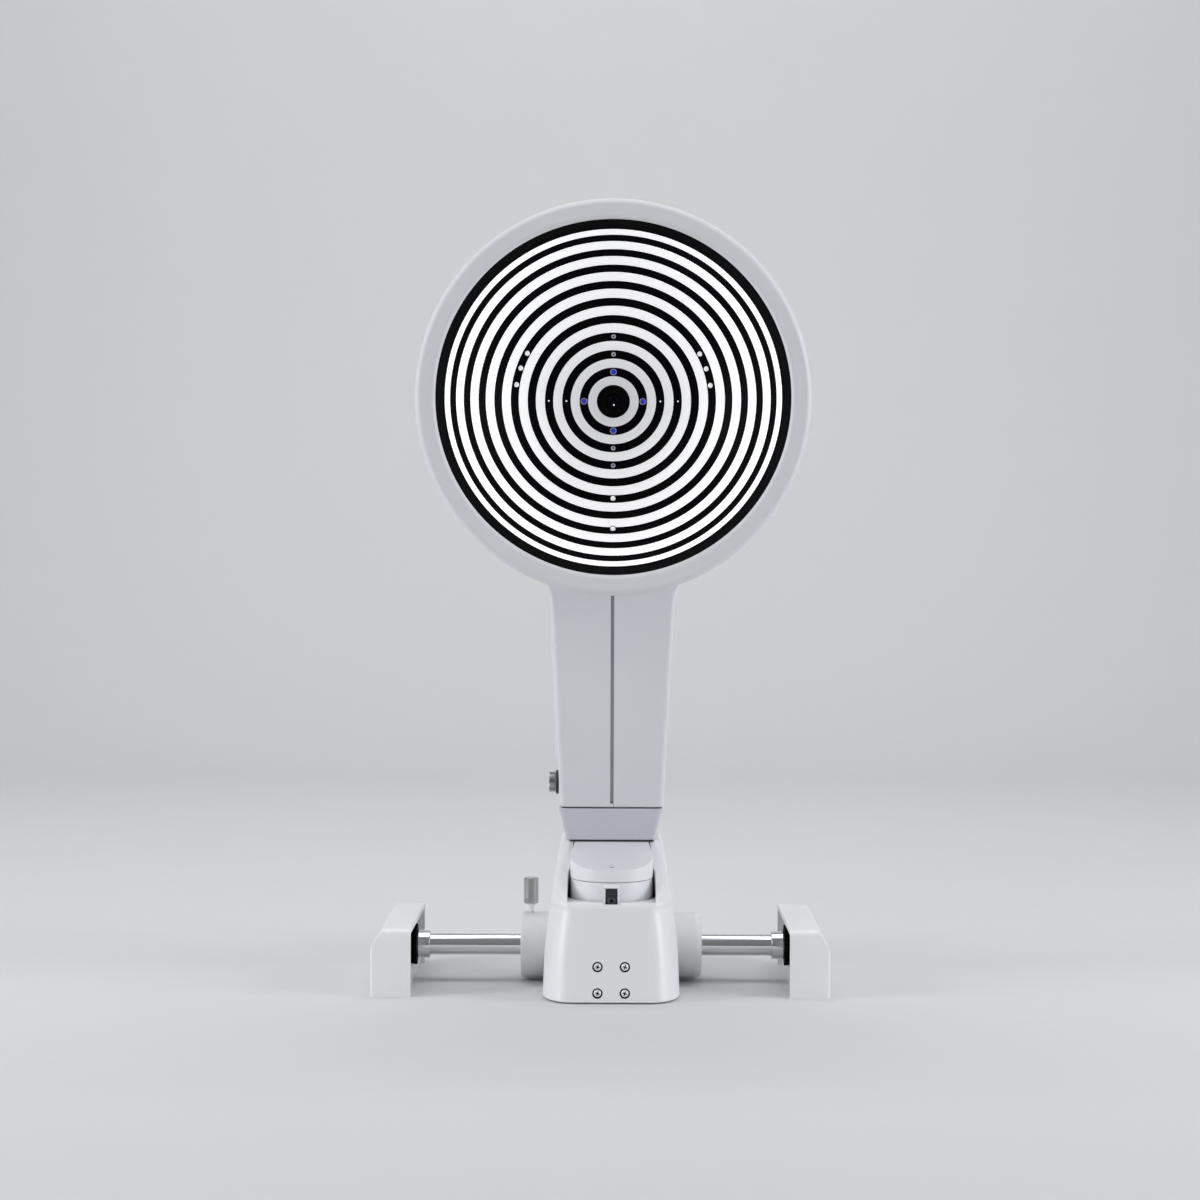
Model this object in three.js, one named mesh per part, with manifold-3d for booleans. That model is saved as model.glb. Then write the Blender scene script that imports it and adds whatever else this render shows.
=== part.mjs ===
import * as THREE from 'three';
import { mergeVertices } from 'three/addons/utils/BufferGeometryUtils.js';
import Module from 'manifold-3d';

// Corneal topographer: a ring-lit measuring bowl on a joystick cross-slide base.
// Millimetres. X runs across the rails, the patient sits on the -Y side, +Z is up.

// Rest place of the sliding base, and the clearance left between neighbouring pieces
const baseX = 7.5;
const gap = 0.3;

// Rail covers, racks and the axle that rolls along them
const railInnerX = 129.8;
const railOuterX = 157.5;
const railFrontY = -55;
const railBackY = 85;
const railHeight = 46.6;
const railBackHeight = 44;
const railWall = 3.5;
const railChamferX = 9;
const railChamferZ = 13.8;
const rackTopZ = 12.3;
const rackPitchZ = 11.5;
const axleY = 15;
const axleZ = 25;
const axleRadius = 7.5;
const axleHalfLength = 148;
const gearModule = 1;
const gearTeeth = 27;
const collarRadius = 9.75;

// Tower cover of the base
const towerFrontY = -78;
const towerBackY = 40;
const towerTopZ = 102;
const towerLipZ = 66.5;
const ledgeZ = 67.2;
const towerLipY = -71;
const towerCrestY = -11;
const towerWall = 3.2;
const noseRadiusX = 20.6;
const noseRadiusY = 31;
const baseBackY = 125;
const rearCoverZ = 62;
const bossRadius = 23;
const bossHalfLength = 63.8;

// Lift: spindle, foot and arm
const spindleY = -37;
const spindleRadius = 12;
const slotRadius = 30.2;
const slotRearHalf = 27.2;
const slotTopRadius = 29.2;
const slotTopRearHalf = 26.8;
const flangeRadius = 28.3;
const flangeRearHalf = 26;
const flangeBottomZ = 55;
const flangeTopZ = 80;
const footFrontZ = 87.8;
const footBackZ = 101;
const footBackY = -9.3;
const wedgeBottomZ = 102.5;
const wedgeTopZ = 125.5;
const wedgeShiftX = -0.9;

// Column that leans forward under the head
const columnBottomZ = 126;
const columnNeckZ = 274;
const columnWall = 3;
const grooveHalf = 1.1;
const armLockY = 4;
const armLockZ = 141.5;

// Measuring head
const headZ = 408;
const rimRadius = 130.8;
const rimFrontY = -125;
const bowlRadius = 131.5;
const bowlEdge = 117;
const bowlHole = 11.5;
const bowlCentreY = -49;
const bowlWall = 3;
const blueLedAngle = 8.8;

// Joystick
const stickY = 95;
const stickPivotZ = 60;

// Colours and finishes
const white = { color: 0xe9eaea, roughness: 0.3, metalness: 0 };
const paleGrey = { color: 0xcfd2d6, roughness: 0.5, metalness: 0 };
const blueGrey = { color: 0xc4c8d2, roughness: 0.45, metalness: 0.1 };
const black = { color: 0x17181a, roughness: 0.5, metalness: 0 };
const steel = { color: 0xc9ccd0, roughness: 0.2, metalness: 1 };
const darkSteel = { color: 0x55585c, roughness: 0.4, metalness: 1 };
const bronze = { color: 0xa8844c, roughness: 0.4, metalness: 1 };
const blueGlow = { color: 0x3a4fe8, roughness: 0.2, metalness: 0 };
const lensGlass = { color: 0x20242c, roughness: 0.05, metalness: 0 };
const boardGreen = { color: 0x1f5a3a, roughness: 0.5, metalness: 0 };

const wasm = await Module();
wasm.setup();
const part = new THREE.Group();
part.name = 'corneal_topographer';

// Signed volume of an indexed triangle list, negative when the faces point inward
function signedVolume(points, index) {
  let volume = 0;
  const a = new THREE.Vector3();
  const b = new THREE.Vector3();
  const c = new THREE.Vector3();
  for (let i = 0; i < index.length; i += 3) {
    a.fromArray(points, 3 * index[i]);
    b.fromArray(points, 3 * index[i + 1]);
    c.fromArray(points, 3 * index[i + 2]);
    volume += a.dot(b.cross(c)) / 6;
  }
  return volume;
}

// Turns a three.js geometry into a manifold solid whose faces point outward
function solid(geometry) {
  const bare = geometry.clone();
  bare.deleteAttribute('normal');
  bare.deleteAttribute('uv');
  const merged = mergeVertices(bare, 1e-4);
  const points = merged.attributes.position.array;
  const index = [];
  for (let i = 0; i < merged.index.count; i += 3) {
    const [a, b, c] = merged.index.array.slice(i, i + 3);
    if (a !== b && b !== c && c !== a) {
      index.push(a, b, c);
    }
  }
  if (signedVolume(points, index) < 0) {
    index.reverse();
  }
  const mesh = new wasm.Mesh({
    numProp: 3,
    vertProperties: new Float32Array(points),
    triVerts: new Uint32Array(index),
  });
  return new wasm.Manifold(mesh);
}

// Adds one named piece to the part
function addPiece(name, shape, finish) {
  const mesh = shape.getMesh();
  const geometry = new THREE.BufferGeometry();
  geometry.setAttribute('position', new THREE.BufferAttribute(mesh.vertProperties, 3));
  geometry.setIndex(new THREE.BufferAttribute(mesh.triVerts, 1));
  const flat = geometry.toNonIndexed();
  flat.computeVertexNormals();
  const piece = new THREE.Mesh(flat, new THREE.MeshStandardMaterial(finish));
  piece.name = name;
  part.add(piece);
}

// Box between two corners
function box(x0, x1, y0, y1, z0, z1) {
  const geometry = new THREE.BoxGeometry(x1 - x0, y1 - y0, z1 - z0);
  geometry.translate((x0 + x1) / 2, (y0 + y1) / 2, (z0 + z1) / 2);
  return solid(geometry);
}

// Solid of revolution: profile points are [radius, height along the axis]
function revolve(profile, axis, x, y, z, segments = 24) {
  const points = profile.map(([radius, height]) => new THREE.Vector2(radius, height));
  points.push(points[0].clone());
  const geometry = new THREE.LatheGeometry(points, segments);
  if (axis === 'z') {
    geometry.rotateX(Math.PI / 2);
  }
  if (axis === 'x') {
    geometry.rotateZ(-Math.PI / 2);
  }
  geometry.translate(x, y, z);
  return solid(geometry);
}

// Plain cylinder from one height to another along an axis
function rod(radius, from, to, axis, x, y, z, segments = 24) {
  const profile = [[0, from], [radius, from], [radius, to], [0, to]];
  return revolve(profile, axis, x, y, z, segments);
}

// Ring with a square section
function ring(inner, outer, from, to, axis, x, y, z, segments = 24) {
  const profile = [[inner, from], [outer, from], [outer, to], [inner, to]];
  return revolve(profile, axis, x, y, z, segments);
}

// Prism: an outline in the YZ plane, drawn out along X
function prismX(outline, x0, x1) {
  const shape = new THREE.Shape(outline.map(([y, z]) => new THREE.Vector2(y, z)));
  const geometry = new THREE.ExtrudeGeometry(shape, { depth: x1 - x0, bevelEnabled: false });
  geometry.applyMatrix4(new THREE.Matrix4().set(0, 0, 1, x0, 1, 0, 0, 0, 0, 1, 0, 0, 0, 0, 0, 1));
  return solid(geometry);
}

// Prism: an outline in the XZ plane, drawn out along Y
function prismY(outline, y0, y1) {
  const shape = new THREE.Shape(outline.map(([x, z]) => new THREE.Vector2(x, z)));
  const geometry = new THREE.ExtrudeGeometry(shape, { depth: y1 - y0, bevelEnabled: false });
  geometry.applyMatrix4(new THREE.Matrix4().set(1, 0, 0, 0, 0, 0, 1, y0, 0, 1, 0, 0, 0, 0, 0, 1));
  return solid(geometry);
}

// Level outline of a housing: half width, front and back edge, front and back corner sizes
function level(z, half, front, back, cornerX, cornerY, backCorner, steps = 6) {
  const points = [];
  const corners = [
    [half - cornerX, front + cornerY, cornerX, cornerY, -90],
    [half - backCorner, back - backCorner, backCorner, backCorner, 0],
    [-half + backCorner, back - backCorner, backCorner, backCorner, 90],
    [-half + cornerX, front + cornerY, cornerX, cornerY, 180],
  ];
  for (const [x, y, radiusX, radiusY, start] of corners) {
    for (let i = 0; i <= steps; i += 1) {
      const angle = THREE.MathUtils.degToRad(start + 90 * i / steps);
      const px = baseX + x + radiusX * Math.cos(angle);
      const py = y + radiusY * Math.sin(angle);
      points.push([px, py, z]);
    }
  }
  return points;
}

// Skin stretched over a stack of level outlines, closed at both ends
function stack(levels) {
  const count = levels[0].length;
  const points = levels.flat(2);
  const index = [];
  for (let k = 0; k + 1 < levels.length; k += 1) {
    for (let i = 0; i < count; i += 1) {
      const a = k * count + i;
      const b = k * count + (i + 1) % count;
      index.push(a, b, b + count);
      index.push(a, b + count, a + count);
    }
  }
  const last = (levels.length - 1) * count;
  for (let i = 1; i + 1 < count; i += 1) {
    index.push(0, i + 1, i);
    index.push(last, last + i, last + i + 1);
  }
  const geometry = new THREE.BufferGeometry();
  geometry.setAttribute('position', new THREE.Float32BufferAttribute(points, 3));
  geometry.setIndex(index);
  return solid(geometry);
}

// Level outline with a round front and a tail that narrows to the rear
function tongueLevel(z, radius, rearHalf, tailY, rearY) {
  const points = [];
  for (let i = 0; i <= 9; i += 1) {
    const angle = -Math.PI / 2 + i * Math.PI / 18;
    points.push([baseX + radius * Math.cos(angle), spindleY + radius * Math.sin(angle), z]);
  }
  points.push([baseX + rearHalf, tailY, z]);
  points.push([baseX + rearHalf, rearY, z]);
  points.push([baseX - rearHalf, rearY, z]);
  points.push([baseX - rearHalf, tailY, z]);
  for (let i = 9; i > 0; i -= 1) {
    const angle = -Math.PI / 2 - i * Math.PI / 18;
    points.push([baseX + radius * Math.cos(angle), spindleY + radius * Math.sin(angle), z]);
  }
  return points;
}

// Solid with that outline from one height to another
function tongue(radius, rearHalf, tailY, rearY, z0, z1) {
  return stack([z0, z1].map((z) => tongueLevel(z, radius, rearHalf, tailY, rearY)));
}

// Rails: two covers with a toothed rack in each
const rackCentreX = 142.75;
for (const [side, sign] of [['left', -1], ['right', 1]]) {
  const chamferOutline = (inset, floor) => [
    [sign * (railInnerX - inset / 2), floor],
    [sign * (railOuterX - inset), floor],
    [sign * (railOuterX - inset), railHeight - railChamferZ - inset / 2],
    [sign * (railOuterX - railChamferX - inset / 2), railHeight - inset],
    [sign * (railInnerX - inset / 2), railHeight - inset],
  ];
  const roll = 4;
  const rounding = [[railFrontY, 0], [railFrontY, railHeight - roll]];
  for (let i = 1; i <= 5; i += 1) {
    const angle = i * Math.PI / 10;
    const along = railFrontY + roll - roll * Math.cos(angle);
    rounding.push([along, railHeight - roll + roll * Math.sin(angle)]);
  }
  rounding.push([railBackY - 3, railBackHeight]);
  rounding.push([railBackY, railBackHeight - 3]);
  rounding.push([railBackY, 0]);
  const sideView = prismX(rounding, Math.min(sign * 120, sign * 160), Math.max(sign * 120, sign * 160));
  const outer = prismY(chamferOutline(0, 0), railFrontY, railBackY).intersect(sideView);
  const underRoof = prismX([
    [railFrontY, -1], [railFrontY, railHeight - railWall],
    [railBackY, railBackHeight - railWall], [railBackY, -1],
  ], Math.min(sign * 120, sign * 160), Math.max(sign * 120, sign * 160));
  const inside = prismY(chamferOutline(railWall, -1), railFrontY + railWall, railBackY - railWall)
    .intersect(underRoof);
  addPiece(`${side}_rail_cover`, outer.subtract(inside), white);

  // Rack: the tooth spaces are placed so that one lies straight under the axle
  const pitch = Math.PI * gearModule;
  const outline = [[railFrontY + railWall + 1, 0]];
  outline.push([railFrontY + railWall + 1, rackPitchZ - 1.1]);
  for (let k = -20; k <= 20; k += 1) {
    const middle = axleY + (k + 0.5) * pitch;
    outline.push([middle - 0.95, rackPitchZ - 1.1]);
    outline.push([middle - 0.32, rackTopZ]);
    outline.push([middle + 0.32, rackTopZ]);
    outline.push([middle + 0.95, rackPitchZ - 1.1]);
  }
  outline.push([railBackY - railWall - 1, rackPitchZ - 1.1]);
  outline.push([railBackY - railWall - 1, 0]);
  const rackIn = sign * (rackCentreX - 10);
  const rackOut = sign * (rackCentreX + 10);
  addPiece(`${side}_rack`, prismX(outline, Math.min(rackIn, rackOut), Math.max(rackIn, rackOut)), steel);

  // Collar that keeps dust off the axle, and the toothed wheel that rolls on the rack
  const collarIn = sign > 0 ? 120.8 : -129.7;
  const collarOut = collarIn + 8.9;
  const collar = ring(axleRadius + 0.2, collarRadius, collarIn, collarOut, 'x', 0, axleY, axleZ, 24);
  addPiece(`${side}_axle_collar`, collar, steel);
  const gear = [];
  const pitchRadius = gearModule * gearTeeth / 2;
  for (let k = 0; k < gearTeeth; k += 1) {
    const middle = -Math.PI / 2 + k * 2 * Math.PI / gearTeeth;
    const flanks = [[-0.92, -1.1], [-0.3, 0.8], [0.3, 0.8], [0.92, -1.1]];
    for (const [across, rise] of flanks) {
      const radius = pitchRadius + rise;
      const angle = middle + across / radius;
      gear.push([axleY + radius * Math.cos(angle), axleZ + radius * Math.sin(angle)]);
    }
  }
  const wheelIn = sign > 0 ? 130.1 : -145;
  const wheel = prismX(gear, wheelIn, wheelIn + 14.9);
  const wheelBore = rod(axleRadius + 0.25, wheelIn - 1, wheelIn + 16, 'x', 0, axleY, axleZ, 24);
  addPiece(`${side}_toothed_wheel`, wheel.subtract(wheelBore), black);
}
const axleEnds = [
  [0, -axleHalfLength], [axleRadius - 1, -axleHalfLength], [axleRadius, 1 - axleHalfLength],
  [axleRadius, axleHalfLength - 1], [axleRadius - 1, axleHalfLength], [0, axleHalfLength],
];
addPiece('axle_shaft', revolve(axleEnds, 'x', 0, axleY, axleZ, 24), steel);

// Base casting: floor plate, axle block and the two bosses that slide on the axle
const plate = stack([
  level(3, 40, -71, 118, 18, 28, 20, 4),
  level(10, 40, -71, 118, 18, 28, 20, 4),
]);
const block = box(baseX - 34, baseX + 34, -6, 36, 9, 46);
const bossProfile = [
  [0, -bossHalfLength], [bossRadius - 1.8, -bossHalfLength], [bossRadius, 1.8 - bossHalfLength],
  [bossRadius, bossHalfLength - 4], [bossRadius - 4, bossHalfLength], [0, bossHalfLength],
];
const bosses = revolve(bossProfile, 'x', baseX, axleY, axleZ, 40);
const axleBore = rod(10.6, -70, 70, 'x', baseX, axleY, axleZ, 24);
const lockX = baseX - 57;
const lockHole = rod(2.5, 35.4, 50, 'z', lockX, axleY, 0, 16);
addPiece('base_casting', plate.add(block).add(bosses).subtract(axleBore).subtract(lockHole), paleGrey);
for (const [side, from] of [['left', -63.3], ['right', 51.3]]) {
  addPiece(`${side}_bush`, ring(7.6, 10.3, from, from + 12, 'x', baseX, axleY, axleZ, 24), bronze);
}
addPiece('spindle_guide', ring(12.1, 19, 10 + gap, 54, 'z', baseX, spindleY, 0, 24), darkSteel);

// Tower cover: leaning sides, sloping top and a slot for the foot of the arm
const noseY = (z) => towerFrontY + (towerLipY - towerFrontY) * z / towerLipZ;
const towerLevels = [
  [1, 47], [31, 45.9], [49, 44], [62, 42.3], [72, 40.8], [92, 37.3], [98, 36], [towerTopZ, 32.8],
];
const towerOuter = stack(towerLevels.map(([z, half]) => {
  return level(z, half, noseY(z), towerBackY, noseRadiusX, noseRadiusY, 3);
}));
const towerInner = stack([
  level(0, 43.8, towerFrontY + towerWall, 60, noseRadiusX - towerWall, noseRadiusY - towerWall, 3),
  level(31, 42.7, noseY(31) + towerWall, 60, noseRadiusX - towerWall, noseRadiusY - towerWall, 3),
  level(58, 39.5, noseY(58) + towerWall, 60, noseRadiusX - towerWall, noseRadiusY - towerWall, 3),
]);
const slopeCut = prismX([
  [-95, towerLipZ - 14], [-79, towerLipZ - 5], [-74, towerLipZ - 1], [-68, towerLipZ + 2],
  [towerCrestY, towerTopZ], [towerCrestY, 115], [-95, 115],
], baseX - 60, baseX + 60);
const slot = stack([
  tongueLevel(50, slotRadius, slotRearHalf, footBackY + gap, 36.5),
  tongueLevel(ledgeZ, slotRadius, slotRearHalf, footBackY + gap, 36.5),
  tongueLevel(84, slotTopRadius, slotTopRearHalf, footBackY + gap, 36.5),
  tongueLevel(110, slotTopRadius, slotTopRearHalf, footBackY + gap, 36.5),
]);
const ledge = box(baseX - slotRadius, baseX + slotRadius, -90, spindleY, ledgeZ, 110);
const notch = box(baseX - 5.8, baseX + 5.8, -69.9, -60, 57, 90);
const bossCut = rod(bossRadius + 0.5, -80, 80, 'x', baseX, axleY, axleZ, 40)
  .add(box(baseX - 80, baseX + 80, axleY - bossRadius - 0.5, axleY + bossRadius + 0.5, 0, axleZ));
let towerCover = towerOuter.subtract(slopeCut).subtract(towerInner).subtract(slot);
towerCover = towerCover.subtract(ledge).subtract(notch).subtract(bossCut);
const coverScrews = [[-9.25, 24.7, 'upper_left'], [9.25, 24.7, 'upper_right']];
coverScrews.push([-9.25, 7.2, 'lower_left'], [9.25, 7.2, 'lower_right']);
for (const [dx, z, place] of coverScrews) {
  const face = noseY(z);
  towerCover = towerCover.subtract(rod(3.55, -8, 1.6, 'y', baseX + dx, face, z, 14));
  towerCover = towerCover.subtract(rod(1.8, 0, 8, 'y', baseX + dx, face, z, 10));
  const head = [[0, -0.3], [1.6, -0.2], [2.55, 0.5], [2.55, 1.3], [1.5, 1.3], [1.5, 5.5], [0, 5.5]];
  addPiece(`cover_screw_${place}`, revolve(head, 'y', baseX + dx, face, z, 12), steel);
}
addPiece('tower_cover', towerCover, white);

// Rear cover with the joystick opening and two sockets
const rearFrontY = towerBackY + gap;
const rearOuter = stack([
  level(1, 47, rearFrontY, baseBackY, 1, 1, 22),
  level(31, 45.9, rearFrontY, baseBackY, 1, 1, 22),
  level(56, 43.2, rearFrontY, baseBackY, 1, 1, 22),
  level(60.5, 41, rearFrontY, baseBackY - 2, 1, 1, 21),
  level(rearCoverZ, 38, rearFrontY, baseBackY - 5, 1, 1, 19),
]);
const rearInner = stack([
  level(0, 43.8, 30, baseBackY - 3, 1, 1, 19),
  level(56, 40, 30, baseBackY - 3, 1, 1, 19),
  level(58.8, 38, 30, baseBackY - 5, 1, 1, 18),
]);
const rearBossCut = rod(bossRadius + 0.5, -80, 80, 'x', baseX, axleY, axleZ, 40);
let rearCover = rearOuter.subtract(rearInner).subtract(rearBossCut);
rearCover = rearCover.subtract(rod(20.5, 50, 70, 'z', baseX, stickY, 0, 24));
const sockets = [['power_socket', -14, 12, 9], ['data_socket', 12, 9, 8]];
for (const [name, dx, width, height] of sockets) {
  const x0 = baseX + dx - width / 2;
  const z0 = 24 - height / 2;
  const opening = box(x0 - 2.2, x0 + width + 2.2, 118, 130, z0 - 2.2, z0 + height + 2.2);
  rearCover = rearCover.subtract(opening);
  const body = box(x0 - 1.9, x0 + width + 1.9, 110, 124.5, z0 - 1.9, z0 + height + 1.9);
  const mouth = box(x0, x0 + width, 113, 130, z0, z0 + height);
  addPiece(name, body.subtract(mouth), black);
}
addPiece('rear_cover', rearCover, white);
const skid = [[0, 0], [13, 0], [14, 1], [14, 3 - gap], [0, 3 - gap]];
addPiece('glide_skid', revolve(skid, 'z', baseX, 104, 0, 32), black);

// Thumb screw that clamps the base to the axle
const lockProfile = [
  [0, 36], [2.2, 36], [2.2, 54.2], [4.7, 54.2], [5.2, 54.8], [5.2, 71.8], [4.6, 72.4], [0, 72.4],
];
addPiece('base_lock_screw', revolve(lockProfile, 'z', lockX, axleY, 0, 24), steel);

// Joystick: socket, gimbal ring, lever with boot and grip, height sleeve, trigger
addPiece('joystick_socket', ring(14.2, 18, 50, 58.4, 'z', baseX, stickY, 0, 24), darkSteel);
const collarProfile = [[20, 62.3], [26, 62.3], [26, 63.6], [23.5, 65.6], [20, 65.6]];
addPiece('joystick_collar', revolve(collarProfile, 'z', baseX, stickY, 0, 24), black);
const gimbal = ring(9, 13, stickPivotZ - 4, stickPivotZ + 4, 'z', baseX, stickY, 0, 24);
addPiece('joystick_gimbal', gimbal, steel);
const leverProfile = [
  [0, 42], [4, 42], [5, 44], [5, 67], [17, 67], [16, 71], [11.5, 79], [8.5, 84], [7, 90],
  [5.5, 90], [5.5, 128.6], [13.6, 128.6], [14, 130], [12.4, 148], [10.4, 152], [6.6, 152],
  [6.6, 148], [3.5, 148], [3.5, 138], [0, 138],
];
addPiece('joystick_lever', revolve(leverProfile, 'z', baseX, stickY, 0, 24), black);
const sleeveProfile = [[5.8, 90.4], [14, 90.4], [15, 91.5], [15, 127], [14.2, 128.3], [5.8, 128.3]];
addPiece('height_sleeve', revolve(sleeveProfile, 'z', baseX, stickY, 0, 24), black);
const triggerProfile = [[0, 141], [3.2, 141], [3.2, 151.5], [6.2, 151.5], [6.2, 154.5], [5, 156], [0, 156]];
addPiece('trigger_button', revolve(triggerProfile, 'z', baseX, stickY, 0, 24), paleGrey);

// Lift: spindle and the lower flange of the foot, with its travel stop
addPiece('spindle', rod(spindleRadius, 12, flangeBottomZ - gap, 'z', baseX, spindleY, 0, 24), steel);
const flange = tongue(flangeRadius, flangeRearHalf, footBackY, 34, flangeBottomZ, flangeTopZ);
addPiece('foot_flange', flange, paleGrey);
const stopBlock = prismX([
  [-69.3, 60], [-69.3, 78], [-67.8, 79.5], [-65.7, 79.5], [-65.7, 60],
], baseX - 5.5, baseX + 5.5)
  .subtract(rod(flangeRadius + gap, 50, 90, 'z', baseX, spindleY, 0, 36))
  .subtract(box(baseX - 4.15, baseX + 4.15, -70, -68.5, 61.5, 77))
  .subtract(rod(1.5, -70, -60, 'y', baseX, 0, 68.5, 12));
addPiece('stop_block', stopBlock, white);
const stopScrew = [
  [0, -69.4], [2.2, -69.4], [2.7, -69], [2.7, -68.7], [1.2, -68.7], [1.2, -66.2], [0, -66.2],
];
addPiece('stop_screw', revolve(stopScrew, 'y', baseX, 0, 68.5, 16), steel);

// Upper plate of the foot, sloping up to the arm
const footSide = prismX([
  [-65.5, flangeTopZ + 0.4], [-65.5, footFrontZ], [footBackY, footBackZ], [footBackY, flangeTopZ + 0.4],
], baseX - 30, baseX + 30);
const footPlan = tongue(flangeRadius + 0.2, flangeRearHalf, footBackY - 0.5, footBackY, 70, 110);
const dimple = revolve([[0, 84], [1.5, 84], [6, 94], [0, 94]], 'z', baseX, -54, 0, 24);
addPiece('foot_plate', footSide.intersect(footPlan).subtract(dimple), blueGrey);

// Arm casting: block in the slot, wedge above it and the post inside the column
const armLeftX = baseX - flangeRearHalf;
const armRightX = baseX + flangeRearHalf;
const armBlock = box(armLeftX, armRightX, -8.7, 34, flangeTopZ + 0.4, wedgeBottomZ + 1);
const wedge = stack([
  level(wedgeBottomZ, 30.7, -9, 44, 3.4, 3.4, 4, 4),
  level(wedgeTopZ, 36.4, -16, 44, 4.2, 4.2, 4, 4),
]).translate([wedgeShiftX, 0, 0]);
const post = stack([
  level(wedgeTopZ - 1, 20, -4, 34, 3, 3, 3, 3),
  level(330, 20, -59, -27, 3, 3, 3, 3),
]);
const housingProfile = [
  [0, 0], [62, 0], [70, -3], [100, -35], [120, -66], [128, -92], [129, -104.4], [129, -118.5],
];
const housingEnvelope = [[0, -130], [rimRadius + 0.4, -130], [rimRadius + 0.4, -104]];
for (const [radius, y] of housingProfile.slice(1, 6).reverse()) {
  housingEnvelope.push([radius + 0.4, y + 0.4]);
}
housingEnvelope.push([0, 0.4]);
const headSpace = revolve(housingEnvelope, 'y', baseX, 0, headZ, 48);
addPiece('arm_casting', armBlock.add(wedge).add(post.subtract(headSpace)), blueGrey);

// Column covers, two halves around the post
const columnLevels = [
  [columnBottomZ, 36.2, -16, 44, 4.5],
  [200, 39.4, -37, 24, 4],
  [columnNeckZ, 42.6, -59, 2, 3],
  [283, 45, -61.5, 1.5, 1.4],
  [292, 50, -64, 0.5, 1.4],
  [348, 50, -70, -5, 1.4],
];
const columnOuter = stack(columnLevels.map(([z, half, front, back, corner]) => {
  return level(z, half, front, back, corner, corner, 8, 4);
}));
const columnInner = stack(columnLevels.map(([z, half, front, back], i) => {
  const reach = i === 0 ? -1 : 0;
  const top = i === columnLevels.length - 1 ? 1 : 0;
  const inset = columnWall;
  return level(z + reach + top, half - inset, front + inset, back - inset, 1, 1, 5, 4);
}));
const columnShell = columnOuter.subtract(columnInner).subtract(headSpace);
const knobHole = rod(2.8, -50, 0, 'x', baseX, armLockY, armLockZ, 16);
const tongueSpace = box(baseX - grooveHalf - 1, baseX + grooveHalf - gap, -80, 0, 100, columnBottomZ + 2.7);
const leftHalf = columnShell.intersect(box(baseX - 80, baseX - grooveHalf, -80, 80, 100, 360))
  .add(columnShell.intersect(tongueSpace));
const rightHalf = columnShell.intersect(box(baseX + grooveHalf, baseX + 80, -80, 80, 100, 360));
addPiece('left_column_cover', leftHalf.subtract(knobHole), blueGrey);
addPiece('right_column_cover', rightHalf, blueGrey);
const strip = stack([
  level(columnBottomZ + 1, 5, -12.4, -10.6, 0.4, 0.4, 0.4, 1),
  level(268, 5, -53.3, -51.5, 0.4, 0.4, 0.4, 1),
]);
const rib = stack([
  level(columnBottomZ + 4, grooveHalf - gap, -16.2, -12, 0.2, 0.2, 0.2, 1),
  level(200, grooveHalf - gap, -36.1, -32, 0.2, 0.2, 0.2, 1),
  level(268, grooveHalf - gap, -56.3, -52, 0.2, 0.2, 0.2, 1),
]);
addPiece('groove_strip', strip.add(rib), darkSteel);

// Service cover on the left flank of the column
const flank = stack([
  level(154.5, 38, 2, 26, 2, 2, 2, 3),
  level(160, 39.9, -3, 26, 2, 2, 2, 3),
  level(262, 42.9, -32, -8, 2, 2, 2, 3),
]);
const columnGrown = stack(columnLevels.map(([z, half, front, back, corner]) => {
  return level(z, half + gap, front - gap, back + gap, corner, corner, 8, 4);
}));
const sideCover = flank.subtract(columnGrown).intersect(box(baseX - 80, baseX - 20, -80, 80, 100, 320));
addPiece('left_side_cover', sideCover, paleGrey);

// Arm lock: washer and knurled knob on the left flank
addPiece('arm_lock_washer', ring(2.8, 8.45, -39.7, -37.6, 'x', baseX, armLockY, armLockZ, 20), black);
const knobProfile = [[0, -44.3], [6.4, -44.3], [7, -43.7], [7, -40], [2.3, -40], [2.3, -30], [0, -30]];
addPiece('arm_lock_knob', revolve(knobProfile, 'x', baseX, armLockY, armLockZ, 20), steel);

// Head: rear housing shell
const housingShell = housingProfile.slice(1).concat([
  [126, -118.5], [126, -104.4], [125, -92.6], [117.2, -67.3],
  [97.8, -37.2], [68.7, -5.7], [61.4, -3], [0, -3],
]);
housingShell.unshift([0, 0]);
addPiece('rear_housing', revolve(housingShell, 'y', baseX, 0, headZ, 48), paleGrey);

// Rim around the bowl
const rimProfile = [
  [bowlEdge + 0.4, -120.8], [bowlEdge + 0.4, -122.6], [119.6, rimFrontY], [128.2, rimFrontY],
  [130, -124.2], [rimRadius, -122.4], [rimRadius, -105], [129.3, -105], [129.3, -120.8],
];
addPiece('bowl_rim', revolve(rimProfile, 'y', baseX, 0, headZ, 48), paleGrey);

// Bowl: a spherical shell with the camera hole in the middle and four holes for the blue lamps
const sphereY = bowlCentreY - bowlRadius;
const edgeAngle = Math.asin(bowlEdge / bowlRadius);
const holeAngle = Math.asin(bowlHole / bowlRadius);
const bowlProfile = [];
for (let i = 0; i <= 9; i += 1) {
  const angle = holeAngle + (edgeAngle - holeAngle) * i / 9;
  bowlProfile.push([bowlRadius * Math.sin(angle), sphereY + bowlRadius * Math.cos(angle)]);
}
bowlProfile.push([125.7, -120.4]);
bowlProfile.push([125.7, -118]);
const backRadius = bowlRadius + bowlWall;
for (let i = 0; i <= 6; i += 1) {
  const angle = Math.asin(118.2 / backRadius) * (1 - i / 6) + Math.asin(bowlHole / backRadius) * i / 6;
  bowlProfile.push([backRadius * Math.sin(angle), sphereY + backRadius * Math.cos(angle)]);
}
let bowl = revolve(bowlProfile, 'y', baseX, 0, headZ, 48);
const ledReach = bowlRadius * Math.sin(THREE.MathUtils.degToRad(blueLedAngle));
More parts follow.
